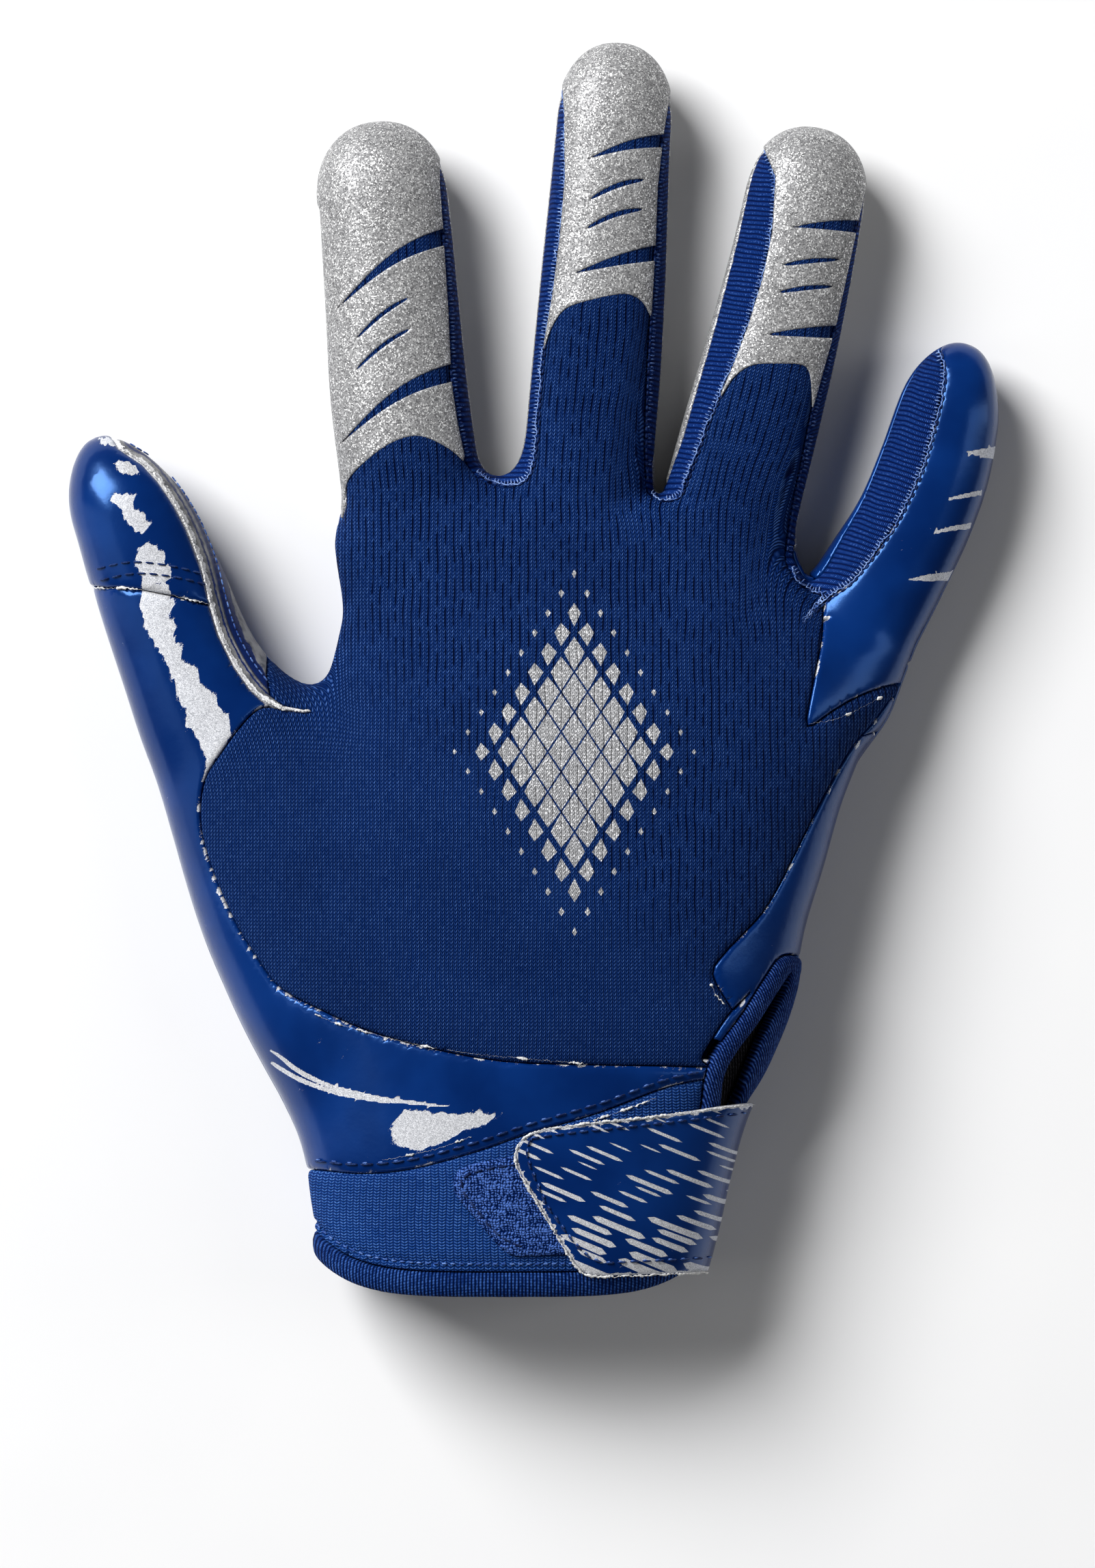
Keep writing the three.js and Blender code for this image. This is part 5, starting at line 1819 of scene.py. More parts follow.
# The knits, the mesh, the elastics and the pile take a lit copy of their colour for painted highlights and a
# shaded copy for painted shade
BACK_KNIT = Knit("back_knit", Slot.BACK_KNIT, NAVY, NAVY_LIGHT, NAVY_DARK, grooves=0.8, emblem=Emblem())
CUFF_KNIT = Knit(
    "cuff_knit", Slot.CUFF_KNIT, linear(15, 54, 118), linear(82, 124, 192), linear(1, 18, 74),
    wale=1.3, course=0.5, slant=0.3, far_leg=0.85,
)  # fmt: skip
FILM = Film("glossy_film", Slot.GLOSSY_FILM, FILM_BLUE, FILM_DEEP, GREY)
STRAP_FILM = Film("strap_film", Slot.GLOSSY_FILM, FILM_BLUE, FILM_DEEP, GREY, dashes=Dashes())
RIM_FILM = Rim("rim_film", Slot.SILVER_FILM, linear(150, 150, 150), linear(86, 88, 94), linear(10, 34, 92))
SILVER_FILM = Glitter(
    "silver_film", Slot.SILVER_FILM, linear(163, 163, 164), linear(240, 240, 240), linear(98, 98, 100)
)
SIDE_MESH = Mesh("side_mesh", Slot.SIDE_MESH, linear(12, 46, 112), linear(70, 108, 184), linear(1, 14, 58))
BINDING = Elastic("binding", Slot.BINDING, linear(7, 36, 92), linear(54, 92, 160), linear(0, 9, 46))
VENT_BINDING = Elastic(
    "vent_binding", Slot.BINDING, linear(9, 36, 96), linear(64, 98, 168), linear(0, 9, 42), slant=0.5
)
LOOP = Pile("loop_pile", Slot.LOOP_PILE, linear(8, 38, 96), linear(78, 114, 192), linear(0, 10, 52))
TONGUE = Elastic(
    "dark_cloth", Slot.DARK_CLOTH, linear(26, 26, 30), linear(70, 70, 76), linear(6, 6, 8), rib=0.9, slant=0.4
)
LIGHT_THREAD = Yarn("light_thread", Slot.BACK_KNIT, linear(62, 94, 160), linear(150, 178, 228))
DARK_THREAD = Yarn("dark_thread", Slot.GLOSSY_FILM, linear(6, 20, 62), linear(40, 66, 120))
CUT_EDGE_AND_GLINT = Yarn("cut_edge_and_glint", Slot.SILVER_FILM, linear(186, 186, 186), linear(244, 244, 242))
BLUE_THREAD = Yarn("blue_thread", Slot.CUFF_KNIT, linear(24, 58, 130), linear(110, 144, 206))


def line_distance(points: np.ndarray, line: np.ndarray) -> np.ndarray:
    """The distance of points of the plan from a line."""
    nearest = np.full(len(points), np.inf)
    for start, end in zip(line[:-1], line[1:]):
        step = end - start
        share = np.clip((points - start) @ step / max(step @ step, TINY_SQUARE), 0.0, 1.0)
        nearest = np.minimum(nearest, np.linalg.norm(points - start - share[:, None] * step, axis=1))
    return nearest


@dataclass(frozen=True)
class Stroke:
    """A painted highlight, drawn as wear, along a line of the photograph's pixels. The reach to both sides is
    in millimetres.
    """

    pixels: Rows
    reach: float
    amount: float
    core: float = 0.25  # the share of the reach that is at full strength

    def worn(self, points: np.ndarray) -> np.ndarray:
        """How strong the painted highlight is at points."""
        distance = line_distance(seen(points), at_pixels(self.pixels))
        return self.amount * (1 - ease(distance, self.reach * self.core, self.reach))


@dataclass(frozen=True)
class Strand:
    """A silver strand along a line of the photograph's pixels, with half its width in millimetres at each."""

    rows: tuple[tuple[float, float, float], ...]

    def inside(self, points: np.ndarray) -> np.ndarray:
        """How far inside the strand points lie.

        Args:
            points: places on the glove or near it.

        Returns:
            One distance for each in millimetres, negative outside.
        """
        spacing, margin, far = 0.25, 2, 9.0
        rows = np.asarray(self.rows)
        line = even_line(smooth_line(at_pixels(rows[:, :2])), spacing)
        widths = np.interp(line[:, 0], at_pixels(rows[:, :2])[:, 0], rows[:, 2])
        flat = seen(points)
        result = np.full(len(points), -far)
        low, high = line.min(axis=0) - margin, line.max(axis=0) + margin
        near = np.flatnonzero(((flat > low) & (flat < high)).all(axis=1))
        if len(near):
            distance = np.linalg.norm(flat[near, None] - line, axis=2) - widths
            result[near] = -distance.min(axis=1)
        return result


DART = (
    Strand(((398, 1538, 0.2), (412, 1547, 0.3), (430, 1562, 0.42), (455, 1577, 0.42), (485, 1590, 0.35),
            (520, 1600, 0.42), (560, 1609, 0.42), (610, 1615, 0.34), (645, 1619, 0.2), (668, 1620, 0.08))),
    Strand(((400, 1556, 0.3), (415, 1566, 0.38), (440, 1580, 0.42), (470, 1592, 0.4), (500, 1601, 0.45),
            (530, 1607, 0.4), (570, 1614, 0.25))),
)  # fmt: skip


@dataclass(frozen=True)
class Blot:
    """A painted highlight, drawn as wear, inside an outline of the photograph's pixels. Its border's softness
    is in millimetres.
    """

    pixels: Rows
    soft: float = 1.0
    amount: float = 1.0

    def worn(self, points: np.ndarray) -> np.ndarray:
        """How strong the painted highlight is at points."""
        return self.amount * ease(Outline(at_pixels(self.pixels)).inset(seen(points)), -self.soft, self.soft)


# Painted highlights on the thumb and the yoke: pale patches where the glossy film catches the light, drawn as
# wear that bares the silver
THUMB_HIGHLIGHTS = (
    Blot([(166, 676), (186, 678), (202, 694), (190, 700), (174, 690)], 0.8, 0.85),
    Blot([(164, 724), (203, 724), (190, 737), (218, 763), (210, 783), (190, 772), (177, 746), (162, 735)],
         0.8, 0.9),
    Blot([(203, 802), (216, 793), (233, 806), (244, 832), (251, 845), (233, 854), (212, 850), (199, 828)],
         0.8, 0.95),
    Blot([(210, 854), (246, 856), (255, 880), (246, 902), (257, 919), (251, 932), (266, 943), (264, 967),
          (288, 980), (294, 997), (316, 1015), (320, 1036), (335, 1049), (338, 1075), (309, 1125),
          (296, 1097), (281, 1071), (272, 1045), (251, 993), (242, 963), (225, 941), (212, 915),
          (207, 885)], 1.1, 0.92),
    Stroke([(150, 648), (180, 650), (205, 668)], 1.4, 0.6),
    Blot([(569, 1655), (592, 1625), (637, 1628), (678, 1632), (701, 1628), (737, 1631), (710, 1646),
          (674, 1659), (637, 1677), (606, 1683), (579, 1677)], 0.8, 0.95),
)  # fmt: skip


class Held(Enum):
    """How a sheet of cloth is held."""

    STRETCHED = "stretched"
    FOLDED = "folded"
    LAID = "laid"


@dataclass(frozen=True)
class Cut:
    """A panel's flat size before it was sewn, across and along in millimetres, and how it is held."""

    width: float
    length: float
    held: Held = Held.STRETCHED
    rests_on: tuple[str, ...] = ()

    def declare(self, piece: bpy.types.Object, surface: Surface) -> None:
        """Reckons the sheet's flat size and the piece's area; nothing is done with them.

        Args:
            piece: the piece; not used.
            surface: its closed surface, in millimetres.
        """
        size = (self.width * METRE, self.length * METRE)
        area = surface.area() / 2 * METRE**2
        area = min(area, size[0] * size[1])


CUTS = {
    "back_panel_cloth": Cut(132, 186),
    "palm_panel_film": Cut(132, 142),
    "index_front_film": Cut(34, 74),
    "middle_front_film": Cut(34, 86),
    "ring_front_film": Cut(35, 80),
    "little_front_film": Cut(30, 66),
    "thumb_front_film": Cut(36, 70),
    "fourchette_index_middle_cloth": Cut(12, 150),
    "fourchette_middle_ring_cloth": Cut(12, 150),
    "fourchette_ring_little_cloth": Cut(12, 140),
    "index_side_film": Cut(10, 63),
    "little_wrap_film": Cut(32, 74),
    "side_strip_film": Cut(22, 60),
    "thumb_gusset_film": Cut(12, 60),
    "thumb_tip_cap_film": Cut(28, 32),
    "thumb_wrap_film": Cut(88, 108),
    "cuff_band_cloth": Cut(168, 30),
    "cuff_binding_cloth": Cut(165, 10, Held.FOLDED),
    "vent_binding_cloth": Cut(10, 105, Held.FOLDED),
    "vent_tongue_cloth": Cut(16, 52),
    "index_cap_film": Cut(30, 70, Held.LAID, ("back_panel_cloth",)),
    "middle_cap_film": Cut(26, 57, Held.LAID, ("back_panel_cloth",)),
    "ring_cap_film": Cut(24, 53, Held.LAID, ("back_panel_cloth",)),
    "loop_pad_pile": Cut(32, 23, Held.LAID, ("cuff_band_cloth",)),
    "wrist_strap_film": Cut(62, 31, Held.FOLDED, ("loop_pad_pile", "cuff_band_cloth")),
}


@dataclass(frozen=True)
class Stitching:
    """A kind of stitch, in millimetres."""

    lift: float  # over the skin
    length: float
    pitch: float
    shift: tuple[float, float] = (0.0, 0.0)  # from the line that it follows, across and along


@dataclass
class Workshop:
    """What every sub-assembly works with."""

    pattern: Pattern
    relief: Topography
    materials: dict[str, bpy.types.Material] = field(default_factory=dict)
    chance: np.random.Generator = field(default_factory=lambda: np.random.default_rng(SEED))
    spacing: float = 0.14  # millimetres between the points of an uneven thread
    leap: float = 1.5  # the longest step between them on one face

    def finish_of(self, finish: Finish) -> bpy.types.Material:
        """The finish's material, made once."""
        if finish.name not in self.materials:
            self.materials[finish.name] = finish.material()
        return self.materials[finish.name]

    def piece(self, name: str, surface: Surface, finish: Finish, node: str | None = None) -> None:
        """Makes a piece and reports it.

        Args:
            name: the piece's name.
            surface: its triangles.
            finish: its finish, which says the slot too.
            node: the solid that it stands for, if there is one.
        """
        made = make_object(name, surface, self.finish_of(finish))
        if node is not None:
            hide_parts(node)
        if name in CUTS:
            CUTS[name].declare(made, surface)
        log.info("%s: %d triangles", name, len(surface.faces))

    def wavy(self, thread: Thread, line: np.ndarray, kind: Stitching) -> None:
        """Lays a thread that swings unevenly from side to side.

        Args:
            thread: what it is added to.
            line: the middle line, drawn as it is seen from above.
            kind: its lift, its pitch and, as the length, how far it swings to each side.
        """
        phase_window, swing_window, side_window = 14, 8, 30
        looseness, side_stray = 0.35, 0.12
        even = even_line(line, self.spacing)
        count = len(even)
        loose = self.uneven(count, phase_window)
        phase = (np.arange(count) * self.spacing / kind.pitch + loose * looseness) * 2 * np.pi
        swing = np.sin(phase) * kind.length * (1 + looseness * self.uneven(count, swing_window))
        sway = swing + self.uneven(count, side_window) * side_stray
        self.run(thread, even + sideways(even) * sway[:, None], kind.lift, np.ones(count))

    def comb(self, thread: Thread, line: np.ndarray, kind: Stitching) -> None:
        """Lays short bars square to a line.

        Args:
            thread: what they are added to.
            line: the line, drawn as it is seen from above.
            kind: their lift, length and pitch. A positive length goes to the line's right.
        """
        samples, roughness, longest = 4, 0.15, 2.5
        even = even_line(line + kind.shift, kind.pitch)
        ends = kind.length * (1 + roughness * self.uneven(len(even), 1))
        for start, way, reach in zip(even, sideways(even), ends):
            bar = start + way * (np.linspace(0.0, 1.0, samples) * reach)[:, None]
            laid, _ = self.relief.drape(bar, kind.lift)
            if len(laid) == samples and np.linalg.norm(laid[-1] - laid[0]) < abs(kind.length) * longest:
                thread.lay(laid)

    def frayed(self, thread: Thread, line: np.ndarray, lift: float, share: float = 1.0) -> None:
        """Lays a ragged white line, as the cut edge of leather and as painted glints laid like it.

        Args:
            thread: what it is added to.
            line: the edge, drawn as it is seen from above.
            lift: how far over the face it lies.
            share: how much of it stands out.
        """
        fine_window, coarse_window, break_window, side_window = 1, 12, 22, 3
        roughness, thinnest, thickest = 0.35, 0.3, 2.0
        gone, side_stray = 0.08, 0.07
        even = even_line(line, self.spacing)
        count = len(even)
        swell = 1 + roughness * self.uneven(count, fine_window)
        swell = np.clip(swell + roughness * self.uneven(count, coarse_window), thinnest, thickest)
        if share < 1:
            swell *= ease(self.uneven(count, break_window), 1.2 - share * 2, 1.5 - share * 2) + gone
        offset = sideways(even) * (side_stray * self.uneven(count, side_window))[:, None]
        self.run(thread, even + offset, lift, swell)

    def uneven(self, count: int, reach: int) -> np.ndarray:
        """Smooth chance values about zero, with a deviation of one.

        Args:
            count: how many values.
            reach: how many neighbours are alike.

        Returns:
            The values in order.
        """
        window = np.hanning(reach + 2)[1:-1]
        values = np.convolve(self.chance.normal(size=count + reach), window, "same")[:count]
        return values / np.sqrt((window**2).sum())

    def run(self, thread: Thread, line: np.ndarray, lift: float, swell: np.ndarray) -> None:
        """Lays a thread along a line, cut wherever it would leap.

        Args:
            thread: what it is added to.
            line: the line, drawn as it is seen from above.
            lift: how far over the face it lies.
            swell: its thickness at the line's points.
        """
        laid, kept = self.relief.drape(line, lift)
        thickness = swell[kept]
        leaps = np.flatnonzero(np.linalg.norm(np.diff(laid, axis=0), axis=1) > self.leap) + 1
        for points, sizes in zip(np.split(laid, leaps), np.split(thickness, leaps)):
            if len(points) > 3:
                thread.lay(points, sizes)

    def stitches(self, thread: Thread, line: np.ndarray, kind: Stitching) -> None:
        """Lays single stitches, each sunk at its ends.

        Args:
            thread: what they are added to.
            line: the line, drawn as it is seen from above.
            kind: their lift, length and pitch.
        """
        samples, sunk, power = 7, 1.4, 4
        even = even_line(line + kind.shift, kind.pitch)
        for start, end in zip(even[:-1], even[1:]):
            share = np.linspace(0, kind.length / kind.pitch, samples)[:, None]
            laid, _ = self.relief.drape(start + (end - start) * share, kind.lift)
            if len(laid) == samples and np.linalg.norm(laid[-1] - laid[0]) < 2 * kind.pitch:
                laid[:, 2] -= thread.radius * sunk * np.linspace(-1, 1, samples) ** power
                thread.lay(laid)


@dataclass
class Shell:
    """The sewn panels between the cuff and the fingertips."""

    shop: Workshop
    knit: Sewing = Sewing(puff=0.35)
    film: Sewing = Sewing(puff=0.25, roll=0.45, reach=0.8)
    lap: Sewing = Sewing(layer=0.35, puff=0.3, roll=0.5, reach=0.7)
    side: Sewing = Sewing(layer=-0.2, puff=0.3, roll=0.3)
    print_border: tuple[float, float] = (-0.06, 0.08)  # over which the print comes in, in millimetres
    edge_wear: float = 0.34
    edge_reach: tuple[float, float] = (0.1, 0.6)  # from the edge, over which that wear goes out

    def worn_patch(self, name: str, sewing: Sewing, worn: Field, printed: Field | None = None) -> Surface:
        """Cuts a film panel that carries its wear, its painted highlights and its print.

        Args:
            name: the panel's name.
            sewing: how it lies on the form.
            worn: how much wear and painted highlight it has at a point.
            printed: how far inside its print a point lies, if it has one.

        Returns:
            The panel.
        """
        pattern = self.shop.pattern
        part = pattern.patch(pattern.panel_value(name), sewing.gap, sewing.fineness)
        if printed is not None:
            part = pattern.finer(part, printed)
            part.data["print"] = ease(printed(part.points), *self.print_border)
        edge_worn = self.edge_wear * (1 - ease(part.data["edge"], *self.edge_reach))
        part.data["worn"] = np.maximum(worn(part.points), edge_worn)
        return pattern.dressed(part, sewing)

    def build(self) -> None:
        """Makes the panels."""
        shop = self.shop
        value = shop.pattern.panel_value
        back = shop.pattern.sewn(value("back_panel"), self.knit)
        shop.piece("back_panel_cloth", back, BACK_KNIT, "back_panel")
        for name in ("fourchette_index_middle", "fourchette_middle_ring", "fourchette_ring_little"):
            shop.piece(f"{name}_cloth", shop.pattern.sewn(value(name), self.side), SIDE_MESH, name)
        inner = shop.pattern.patch(value("thumb_gusset"), self.film.gap, self.film.fineness)
        inner.data["strip"] = line_distance(seen(inner.points), smooth_line(THUMB.place(THUMB_RIGHT)))
        shop.piece("thumb_gusset_film", shop.pattern.dressed(inner, self.film), RIM_FILM, "thumb_gusset")
        index_side = shop.pattern.sewn(value("index_side"), self.film)
        shop.piece("index_side_film", index_side, SILVER_FILM, "index_side")
        marks = [Outline(LITTLE.place(rows)) for rows in SILVER_MARKS]

        def mark(points: np.ndarray) -> np.ndarray:
            """How far inside a silver mark points lie."""
            flat = seen(points)
            return np.max([outline.inset(flat) for outline in marks], axis=0)

        def thumb_worn(points: np.ndarray) -> np.ndarray:
            """The thumb's painted highlights, drawn as wear."""
            return np.max([place.worn(points) for place in THUMB_HIGHLIGHTS], axis=0)

        def dart(points: np.ndarray) -> np.ndarray:
            """How far inside the silver of the dart points lie."""
            return np.max([strand.inside(points) for strand in DART], axis=0)

        def plain(points: np.ndarray) -> np.ndarray:
            """No wear."""
            return np.zeros(len(points))

        film = [
            ("little_wrap", self.worn_patch("little_wrap", self.film, plain, mark)),
            ("side_strip", self.worn_patch("side_strip", self.film, plain)),
            ("thumb_tip_cap", self.worn_patch("thumb_tip_cap", self.lap, thumb_worn)),
            ("thumb_wrap", self.worn_patch("thumb_wrap", self.film, thumb_worn, dart)),
        ]
        for name, surface in film:
            shop.piece(f"{name}_film", surface, FILM, name)


@dataclass
class PalmSide:
    """The panels that the hand grips with, below the seam."""

    shop: Workshop
    sewing: Sewing = Sewing(puff=0.0, roll=0.35, reach=0.8, fineness=1)

    def build(self) -> None:
        """Makes the panels."""
        pattern = self.shop.pattern
        for name in ("palm_panel", *pattern.front_outlines):
            part = pattern.patch(pattern.front_value(name), self.sewing.gap, self.sewing.fineness)
            finish = SILVER_FILM if name in ("index_front", "middle_front", "ring_front") else FILM
            self.shop.piece(f"{name}_film", pattern.dressed(part, self.sewing), finish, name)


@dataclass
class SilverCaps:
    """The silver film over the fingers, with its slits."""

    shop: Workshop
    film: Sewing = Sewing(layer=0.42, puff=0.05, roll=0.12, reach=0.3, thickness=0.25, gap=0.0)
    over_seam: float = 0.3  # how far above the seam it ends, in millimetres

    def build(self) -> None:
        """Makes a cap for each finger."""
        pattern = self.shop.pattern
        for name, cap in CAPS.items():
            border = cap.outline()
            slits = [slit.outline(cap.finger) for slit in cap.slits]

            def value(
                points: np.ndarray, border: Outline = border, slits: Sequence[Outline] = slits
            ) -> np.ndarray:
                """How far inside the film points lie."""
                flat = seen(points)
                result = np.minimum(border.inset(flat), pattern.seam.above(points) - self.over_seam)
                for slit in slits:
                    result = np.minimum(result, -slit.inset(flat))
                return result

            surface = pattern.sewn(value, self.film)
            self.shop.piece(f"{name}_cap_film", surface, SILVER_FILM, f"{name}_cap")


@dataclass
class Cuff:
    """The elastic cuff: its band, its bound edge, and the bound vent with the tongue inside."""

    shop: Workshop
    band: Sewing = Sewing(roll=0.7, reach=1.3)
    roll: Sewing = Sewing(layer=0.75, puff=0.0, roll=0.9, reach=2.0, thickness=WALL + 0.9)
    tongue: Sewing = Sewing(layer=-2.5, puff=0.0, roll=0.0, thickness=0.9, fineness=1)
    groove_depth: float = 0.6  # of the stitched groove along the band's lower edge
    groove_reach: float = 0.4
    groove_detail: float = 0.9  # how near to it the triangles are finer
    welt_height: float = 0.25  # of the welt beside the groove
    welt_reach: float = 0.6
    welt_below: float = 1.0  # how far the welt lies from the groove
    tongue_tuck: float = 0.4  # how far the tongue ends inside the vent's binding
    tongue_from: float = 3.0  # how far over the cuff's edge it ends

    def build(self) -> None:
        """Makes the cuff."""
        shop, pattern = self.shop, self.shop.pattern
        band = pattern.patch(pattern.cuff_value, self.band.gap, self.band.fineness)

        def over_groove(points: np.ndarray) -> np.ndarray:
            """How far over the stitched groove points lie."""
            return above_cuff_edge(points) - BINDING_WIDTH - GROOVE_RISE

        band = pattern.finer(band, over_groove, (self.groove_detail,))
        rise = over_groove(band.points)
        welt = self.welt_height * np.exp(-(((rise + self.welt_below) / self.welt_reach) ** 2))
        groove = self.groove_depth * np.exp(-((rise / self.groove_reach) ** 2))
        band = pattern.dressed(band, self.band, welt - groove)
        shop.piece("cuff_band_cloth", band, CUFF_KNIT, "cuff_band")
        edge = pattern.sewn(pattern.binding_value, self.roll)
        shop.piece("cuff_binding_cloth", edge, BINDING, "cuff_binding")
        vent = pattern.sewn(pattern.vent_value, self.roll)
        shop.piece("vent_binding_cloth", vent, VENT_BINDING, "vent_binding")

        def behind_vent(points: np.ndarray) -> np.ndarray:
            """How far inside the tongue points lie."""
            within = pattern.vent.inset(seen(points)) + VENT_BINDING_WIDTH - self.tongue_tuck
            upper = np.minimum(within, pattern.seam.above(points))
            return np.minimum(upper, above_cuff_edge(points) - self.tongue_from)

        tongue = pattern.sewn(behind_vent, self.tongue)
        shop.piece("vent_tongue_cloth", tongue, TONGUE, "vent_tongue")


@dataclass
class Closure:
    """The wrist strap over its loop pad."""

    shop: Workshop
    pad: Sewing = Sewing(layer=0.95, puff=0.15, roll=0.5, reach=0.8, thickness=0.9)
    strap: Sewing = Sewing(layer=1.75, puff=0.25, roll=0.3, reach=0.5, thickness=0.7)
    low: float = 7.6  # how far down the side of the wrist the strap goes
    clearance: float = 0.2  # between the pad and the cuff's binding
    edge_wear: float = 0.75
    edge_reach: tuple[float, float] = (0.1, 0.7)  # from the strap's edge, over which that wear goes out

    def build(self) -> None:
        """Makes the pad and the strap."""
        shop, pattern = self.shop, self.shop.pattern
        pad_outline = Outline(smooth_line(on_palm(PAD_EDGE), COARSE_STEPS))
        strap_outline = Outline(smooth_line(on_palm(STRAP_EDGE), COARSE_STEPS))

        def pad_value(points: np.ndarray) -> np.ndarray:
            """How far inside the pad points lie."""
            result = np.minimum(pad_outline.inset(seen(points)), pattern.seam.above(points))
            return np.minimum(result, above_cuff_edge(points) - BINDING_WIDTH - self.clearance)

        def strap_value(points: np.ndarray) -> np.ndarray:
            """How far inside the strap points lie."""
            return np.minimum(strap_outline.inset(seen(points)), points[:, 2] - self.low)

        shop.piece("loop_pad_pile", pattern.sewn(pad_value, self.pad), LOOP, "loop_pad")
        part = pattern.patch(strap_value, self.strap.gap, self.strap.fineness)
        part.data["worn"] = self.edge_wear * (1 - ease(part.data["edge"], *self.edge_reach))
        shop.piece("wrist_strap_film", pattern.dressed(part, self.strap), STRAP_FILM, "wrist_strap")


@dataclass
class Sewn:
    """The threads of the seams, the ragged cut edges, and white lines of painted glints laid like them."""

    shop: Workshop
    overlock: Stitching = Stitching(0.12, 0.12, 1.1)
    overlock_bars: Stitching = Stitching(0.1, -0.8, 0.62)
    crotch_seam: Stitching = Stitching(0.08, 0.95, 1.5, (0.35, -0.25))
    border_bars: Stitching = Stitching(0.0, -0.7, 0.66, (0.25, 0.0))
    border_seam: Stitching = Stitching(0.05, 0.7, 1.25)
    tip_seam: Stitching = Stitching(0.75, 1.5, 2.1)
    tip_seams_apart: float = 0.03  # of the thumb's length
    gusset_seam: Stitching = Stitching(0.35, 1.15, 1.35)
    gusset_seam_inset: float = 0.24  # of the thumb's half width
    wrist_seam: Stitching = Stitching(0.45, 2.1, 2.7)
    wrist_chain: Stitching = Stitching(0.4, 0.8, 2.7, (0.3, 0.25))
    wrist_above: tuple[float, float] = (0.0, 1.7)  # from the wrist's border to its seam
    strap_seam: Stitching = Stitching(2.1, 1.5, 2.1)
    strap_chain: Stitching = Stitching(2.05, 0.6, 2.1, (0.2, 0.15))
    pad_seam: Stitching = Stitching(1.2, 1.6, 2.2)
    cuff_chain: Stitching = Stitching(0.0, 0.9, 1.5)
    film_lift: float = 0.3  # of the film's cut edges and painted glint lines over the skin
    gusset_lift: float = 0.35
    strap_lift: float = 1.95
    tip_share: float = 0.45  # how much of the thumb tip's cut edge stands out

    def __post_init__(self) -> None:
        """Starts a thread of each kind, with its radius."""
        self.light = Thread(0.11)
        self.dark = Thread(0.17)
        self.blue = Thread(0.14)
        self.cut = Thread(0.15)

    def build(self) -> None:
        """Makes the threads, one piece for each colour."""
        self.fingers()
        self.thumb()
        self.wrist()
        self.cut_edges_and_glints()
        self.closure()
        self.cuff()
        self.shop.piece("overlock_thread", self.light.surface(), LIGHT_THREAD)
        self.shop.piece("seam_thread", self.dark.surface(), DARK_THREAD)
        self.shop.piece("chain_thread", self.blue.surface(), BLUE_THREAD)
        self.shop.piece("cut_edges_and_glints", self.cut.surface(), CUT_EDGE_AND_GLINT)

    def fingers(self) -> None:
        """Sews the fingers' side strips to the back."""
        shop = self.shop
        for web, finger, rows in (
            ("index_middle", MIDDLE, MIDDLE_LEFT),
            ("middle_ring", RING, RING_LEFT),
            ("ring_little", LITTLE, LITTLE_LEFT),
        ):
            border = smooth_line(np.vstack([at_pixels(CROTCHES[web]), finger.place(rows[:-1])]))
            shop.wavy(self.light, border, self.overlock)
            shop.comb(self.light, border, self.overlock_bars)
            shop.stitches(self.dark, border, self.crotch_seam)
        for finger, rows in ((INDEX, INDEX_RIGHT), (MIDDLE, MIDDLE_RIGHT), (RING, RING_RIGHT)):
            border = smooth_line(finger.place(rows[1:]))
            shop.comb(self.blue, border, self.border_bars)
            shop.stitches(self.dark, border, self.border_seam)

    def thumb(self) -> None:
        """Sews the thumb's tip and its inner strip."""
        shop = self.shop
        lower = [(along - self.tip_seams_apart, across) for along, across in THUMB_TIP_SEAM]
        for rows in (THUMB_TIP_SEAM, lower):
            shop.stitches(self.dark, smooth_line(THUMB.place(rows)), self.tip_seam)
        shop.frayed(self.cut, smooth_line(THUMB.place(THUMB_TIP[1:7])), self.film_lift, self.tip_share)
        border = np.vstack([THUMB.place([*THUMB_RIGHT[1:-2], THUMB_LOWEST]), at_pixels(THUMB_CROTCH)])
        shop.frayed(self.cut, smooth_line(border), self.gusset_lift)
        inner = [(along, across + self.gusset_seam_inset) for along, across in THUMB_RIGHT[1:-4]]
        shop.stitches(self.blue, smooth_line(THUMB.place(inner)), self.gusset_seam)

    def wrist(self) -> None:
        """Sews the wrist's border to the cuff."""
        wrist = smooth_line(on_palm(WRIST_SEAM[:-1])) + self.wrist_above
        self.shop.stitches(self.dark, wrist, self.wrist_seam)
        self.shop.stitches(self.blue, wrist, self.wrist_chain)

    def cut_edges_and_glints(self) -> None:
        """Lays the ragged cut edges of the strap and of the film, and white lines of painted glints along the
        film laid like them.
        """
        self.shop.frayed(self.cut, smooth_line(on_palm(STRAP_EDGE[1:-1])), self.strap_lift)
        for rows, share in FRAYED_EDGES_AND_GLINTS:
            self.shop.frayed(self.cut, smooth_line(at_pixels(rows)), self.film_lift, share)

    def closure(self) -> None:
        """Sews along the strap and the pad."""
        for rows in STRAP_SEAMS:
            line = smooth_line(on_palm(rows))
            self.shop.stitches(self.dark, line, self.strap_seam)
            self.shop.stitches(self.blue, line, self.strap_chain)
        self.shop.stitches(self.dark, smooth_line(on_palm(PAD_SEAM)), self.pad_seam)

    def cuff(self) -> None:
        """Sews along the stitched groove over the cuff's binding."""
        left, right, samples = -48.0, 20.0, 100
        across = np.linspace(left, right, samples)
        flat = np.column_stack([across, np.zeros(samples), np.zeros(samples)])
        rise = BINDING_WIDTH + GROOVE_RISE - above_cuff_edge(flat)
        line = self.shop.relief.below(np.column_stack([across, rise]))
        self.shop.stitches(self.blue, line, self.cuff_chain)


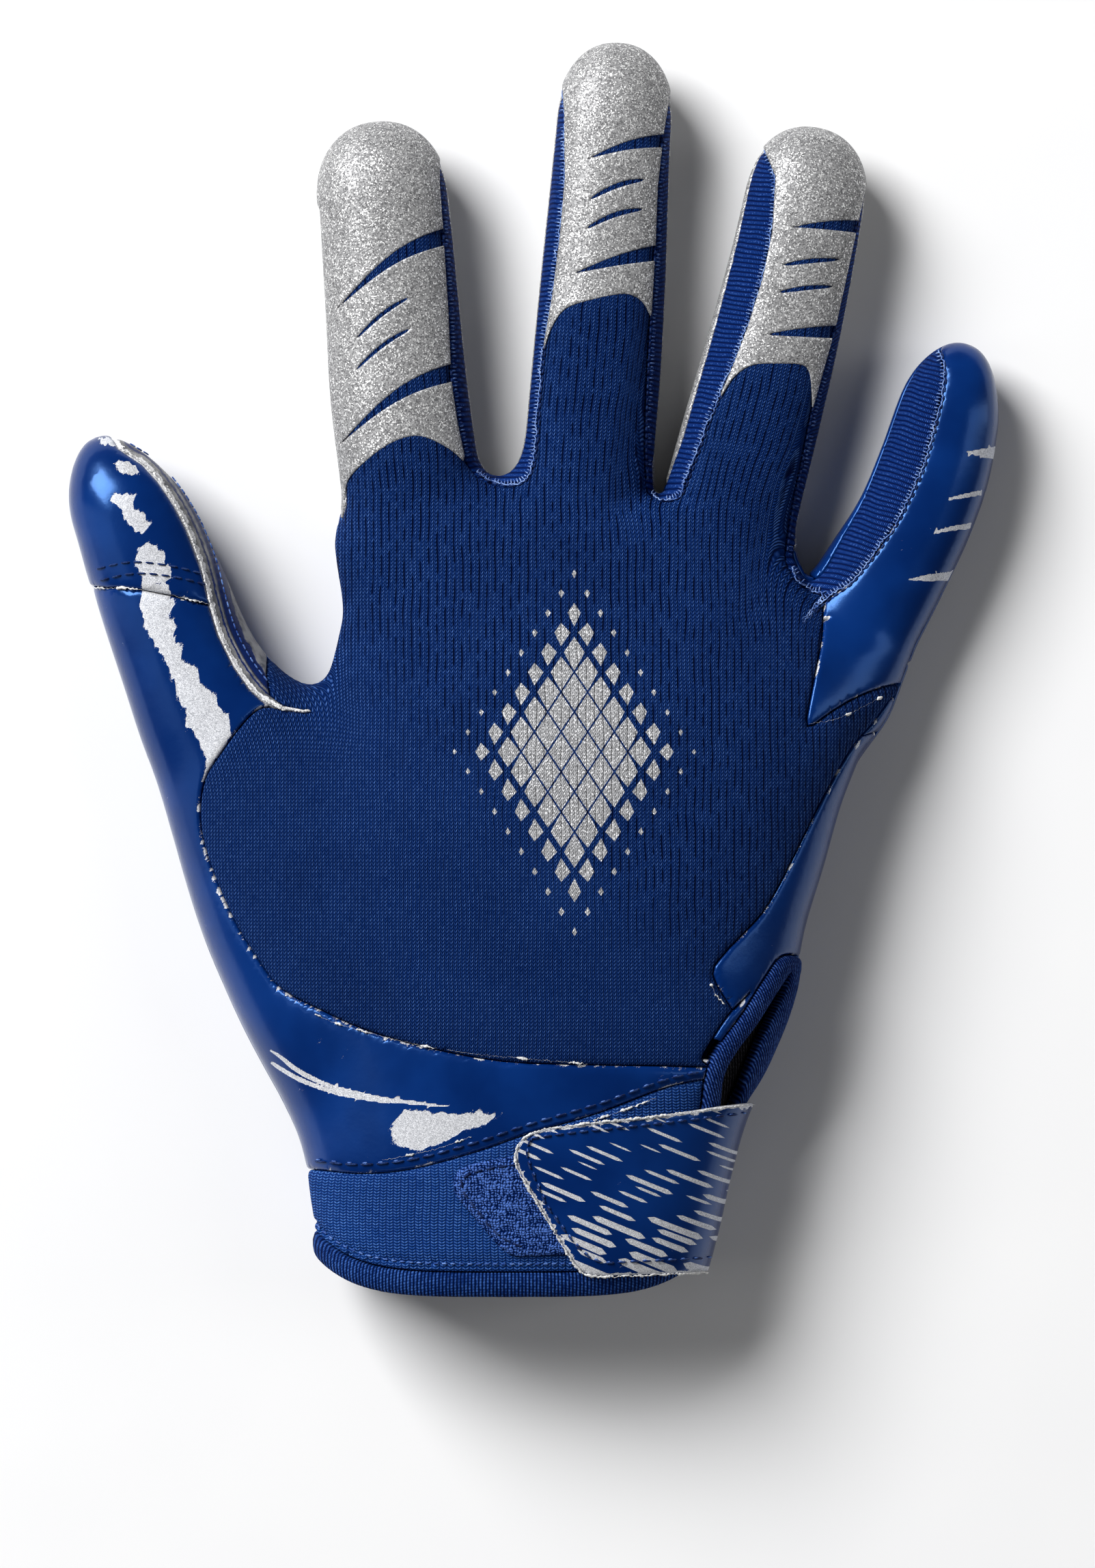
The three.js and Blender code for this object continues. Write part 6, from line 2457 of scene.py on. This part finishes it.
@dataclass(frozen=True)
class Softbox:
    """A lamp: its place and what it faces, in metres, its size and its power in watts."""

    name: str
    place: tuple[float, float, float]
    size: tuple[float, float]
    power: float
    towards: tuple[float, float, float] = (0.0, 0.0, 0.02)

    def build(self) -> None:
        """Makes the lamp."""
        data = bpy.data.lights.new(self.name, "AREA")
        data.shape = "RECTANGLE"
        data.size, data.size_y = self.size
        data.energy = self.power
        lamp = bpy.data.objects.new(self.name, data)
        lamp.location = self.place
        lamp.rotation_mode = "QUATERNION"
        lamp.rotation_quaternion = (Vector(self.towards) - Vector(self.place)).to_track_quat("-Z", "Y")
        bpy.context.scene.collection.objects.link(lamp)


@dataclass
class Studio:
    """The camera straight above, the lamps and the pale floor."""

    lens: float = 150.0
    sensor: float = 36.0
    sky: float = 0.05
    floor_half: float = 1500.0  # half the floor's side, in millimetres
    lamps: tuple[Softbox, ...] = (
        Softbox("key_lamp", (-1.4, 1.32, 1.65), (1.35, 1.35), 104.0),
        Softbox("left_lamp", (-2.0, -0.2, 1.1), (0.6, 2.4), 4.5),
        Softbox("right_lamp", (2.0, 0.2, 1.1), (0.6, 2.4), 8.0),
        Softbox("front_lamp", (0.0, -2.2, 1.2), (2.6, 0.6), 4.0),
    )

    def build(self) -> None:
        """Makes the camera, the lamps and the floor."""
        scene = bpy.context.scene
        scene.view_settings.view_transform = "Standard"
        camera = bpy.data.objects.new("camera", bpy.data.cameras.new("camera"))
        camera.data.sensor_width = self.sensor
        camera.data.lens = self.lens
        middle = (np.array([*SIGHT_MIDDLE, SIGHT_HEIGHT + SIGHT_LEVEL]) + PLAN_SHIFT) * METRE
        camera.location = middle.tolist()
        scene.collection.objects.link(camera)
        scene.camera = camera
        for lamp in self.lamps:
            lamp.build()
        world = bpy.data.worlds.new("sky")
        world.use_nodes = True
        world.node_tree.nodes["Background"].inputs["Color"].default_value = (1.0, 1.0, 1.0, 1.0)
        world.node_tree.nodes["Background"].inputs["Strength"].default_value = self.sky
        scene.world = world
        side = self.floor_half
        corners = np.array([[-side, -side, 0.0], [side, -side, 0.0], [side, side, 0.0], [-side, side, 0.0]])
        floor = make_object("floor", Surface(corners, np.array([[0, 1, 2], [0, 2, 3]])), paper())


def paper() -> bpy.types.Material:
    """The pale floor's material."""
    shade, light = (0.86, 0.86, 0.87), (0.9, 0.9, 0.9)
    graph = Graph("paper")
    grain = graph.noise(graph.place(), 40.0, 2.0)
    graph.set(Base_Color=graph.colour(grain, shade, light), Roughness=0.7)
    graph.set(Specular_IOR_Level=0.2)
    return graph.material


def main() -> None:
    """Builds the glove and its studio."""
    logging.basicConfig(level=logging.INFO, format="%(message)s")
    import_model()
    pattern = Pattern()
    log.info("skin: %d triangles", len(pattern.skin.faces))
    shop = Workshop(pattern, Topography(pattern.form, pattern.skin))
    Shell(shop).build()
    PalmSide(shop).build()
    SilverCaps(shop).build()
    Cuff(shop).build()
    Closure(shop).build()
    Sewn(shop).build()
    Studio().build()


if __name__ == "__main__":
    main()
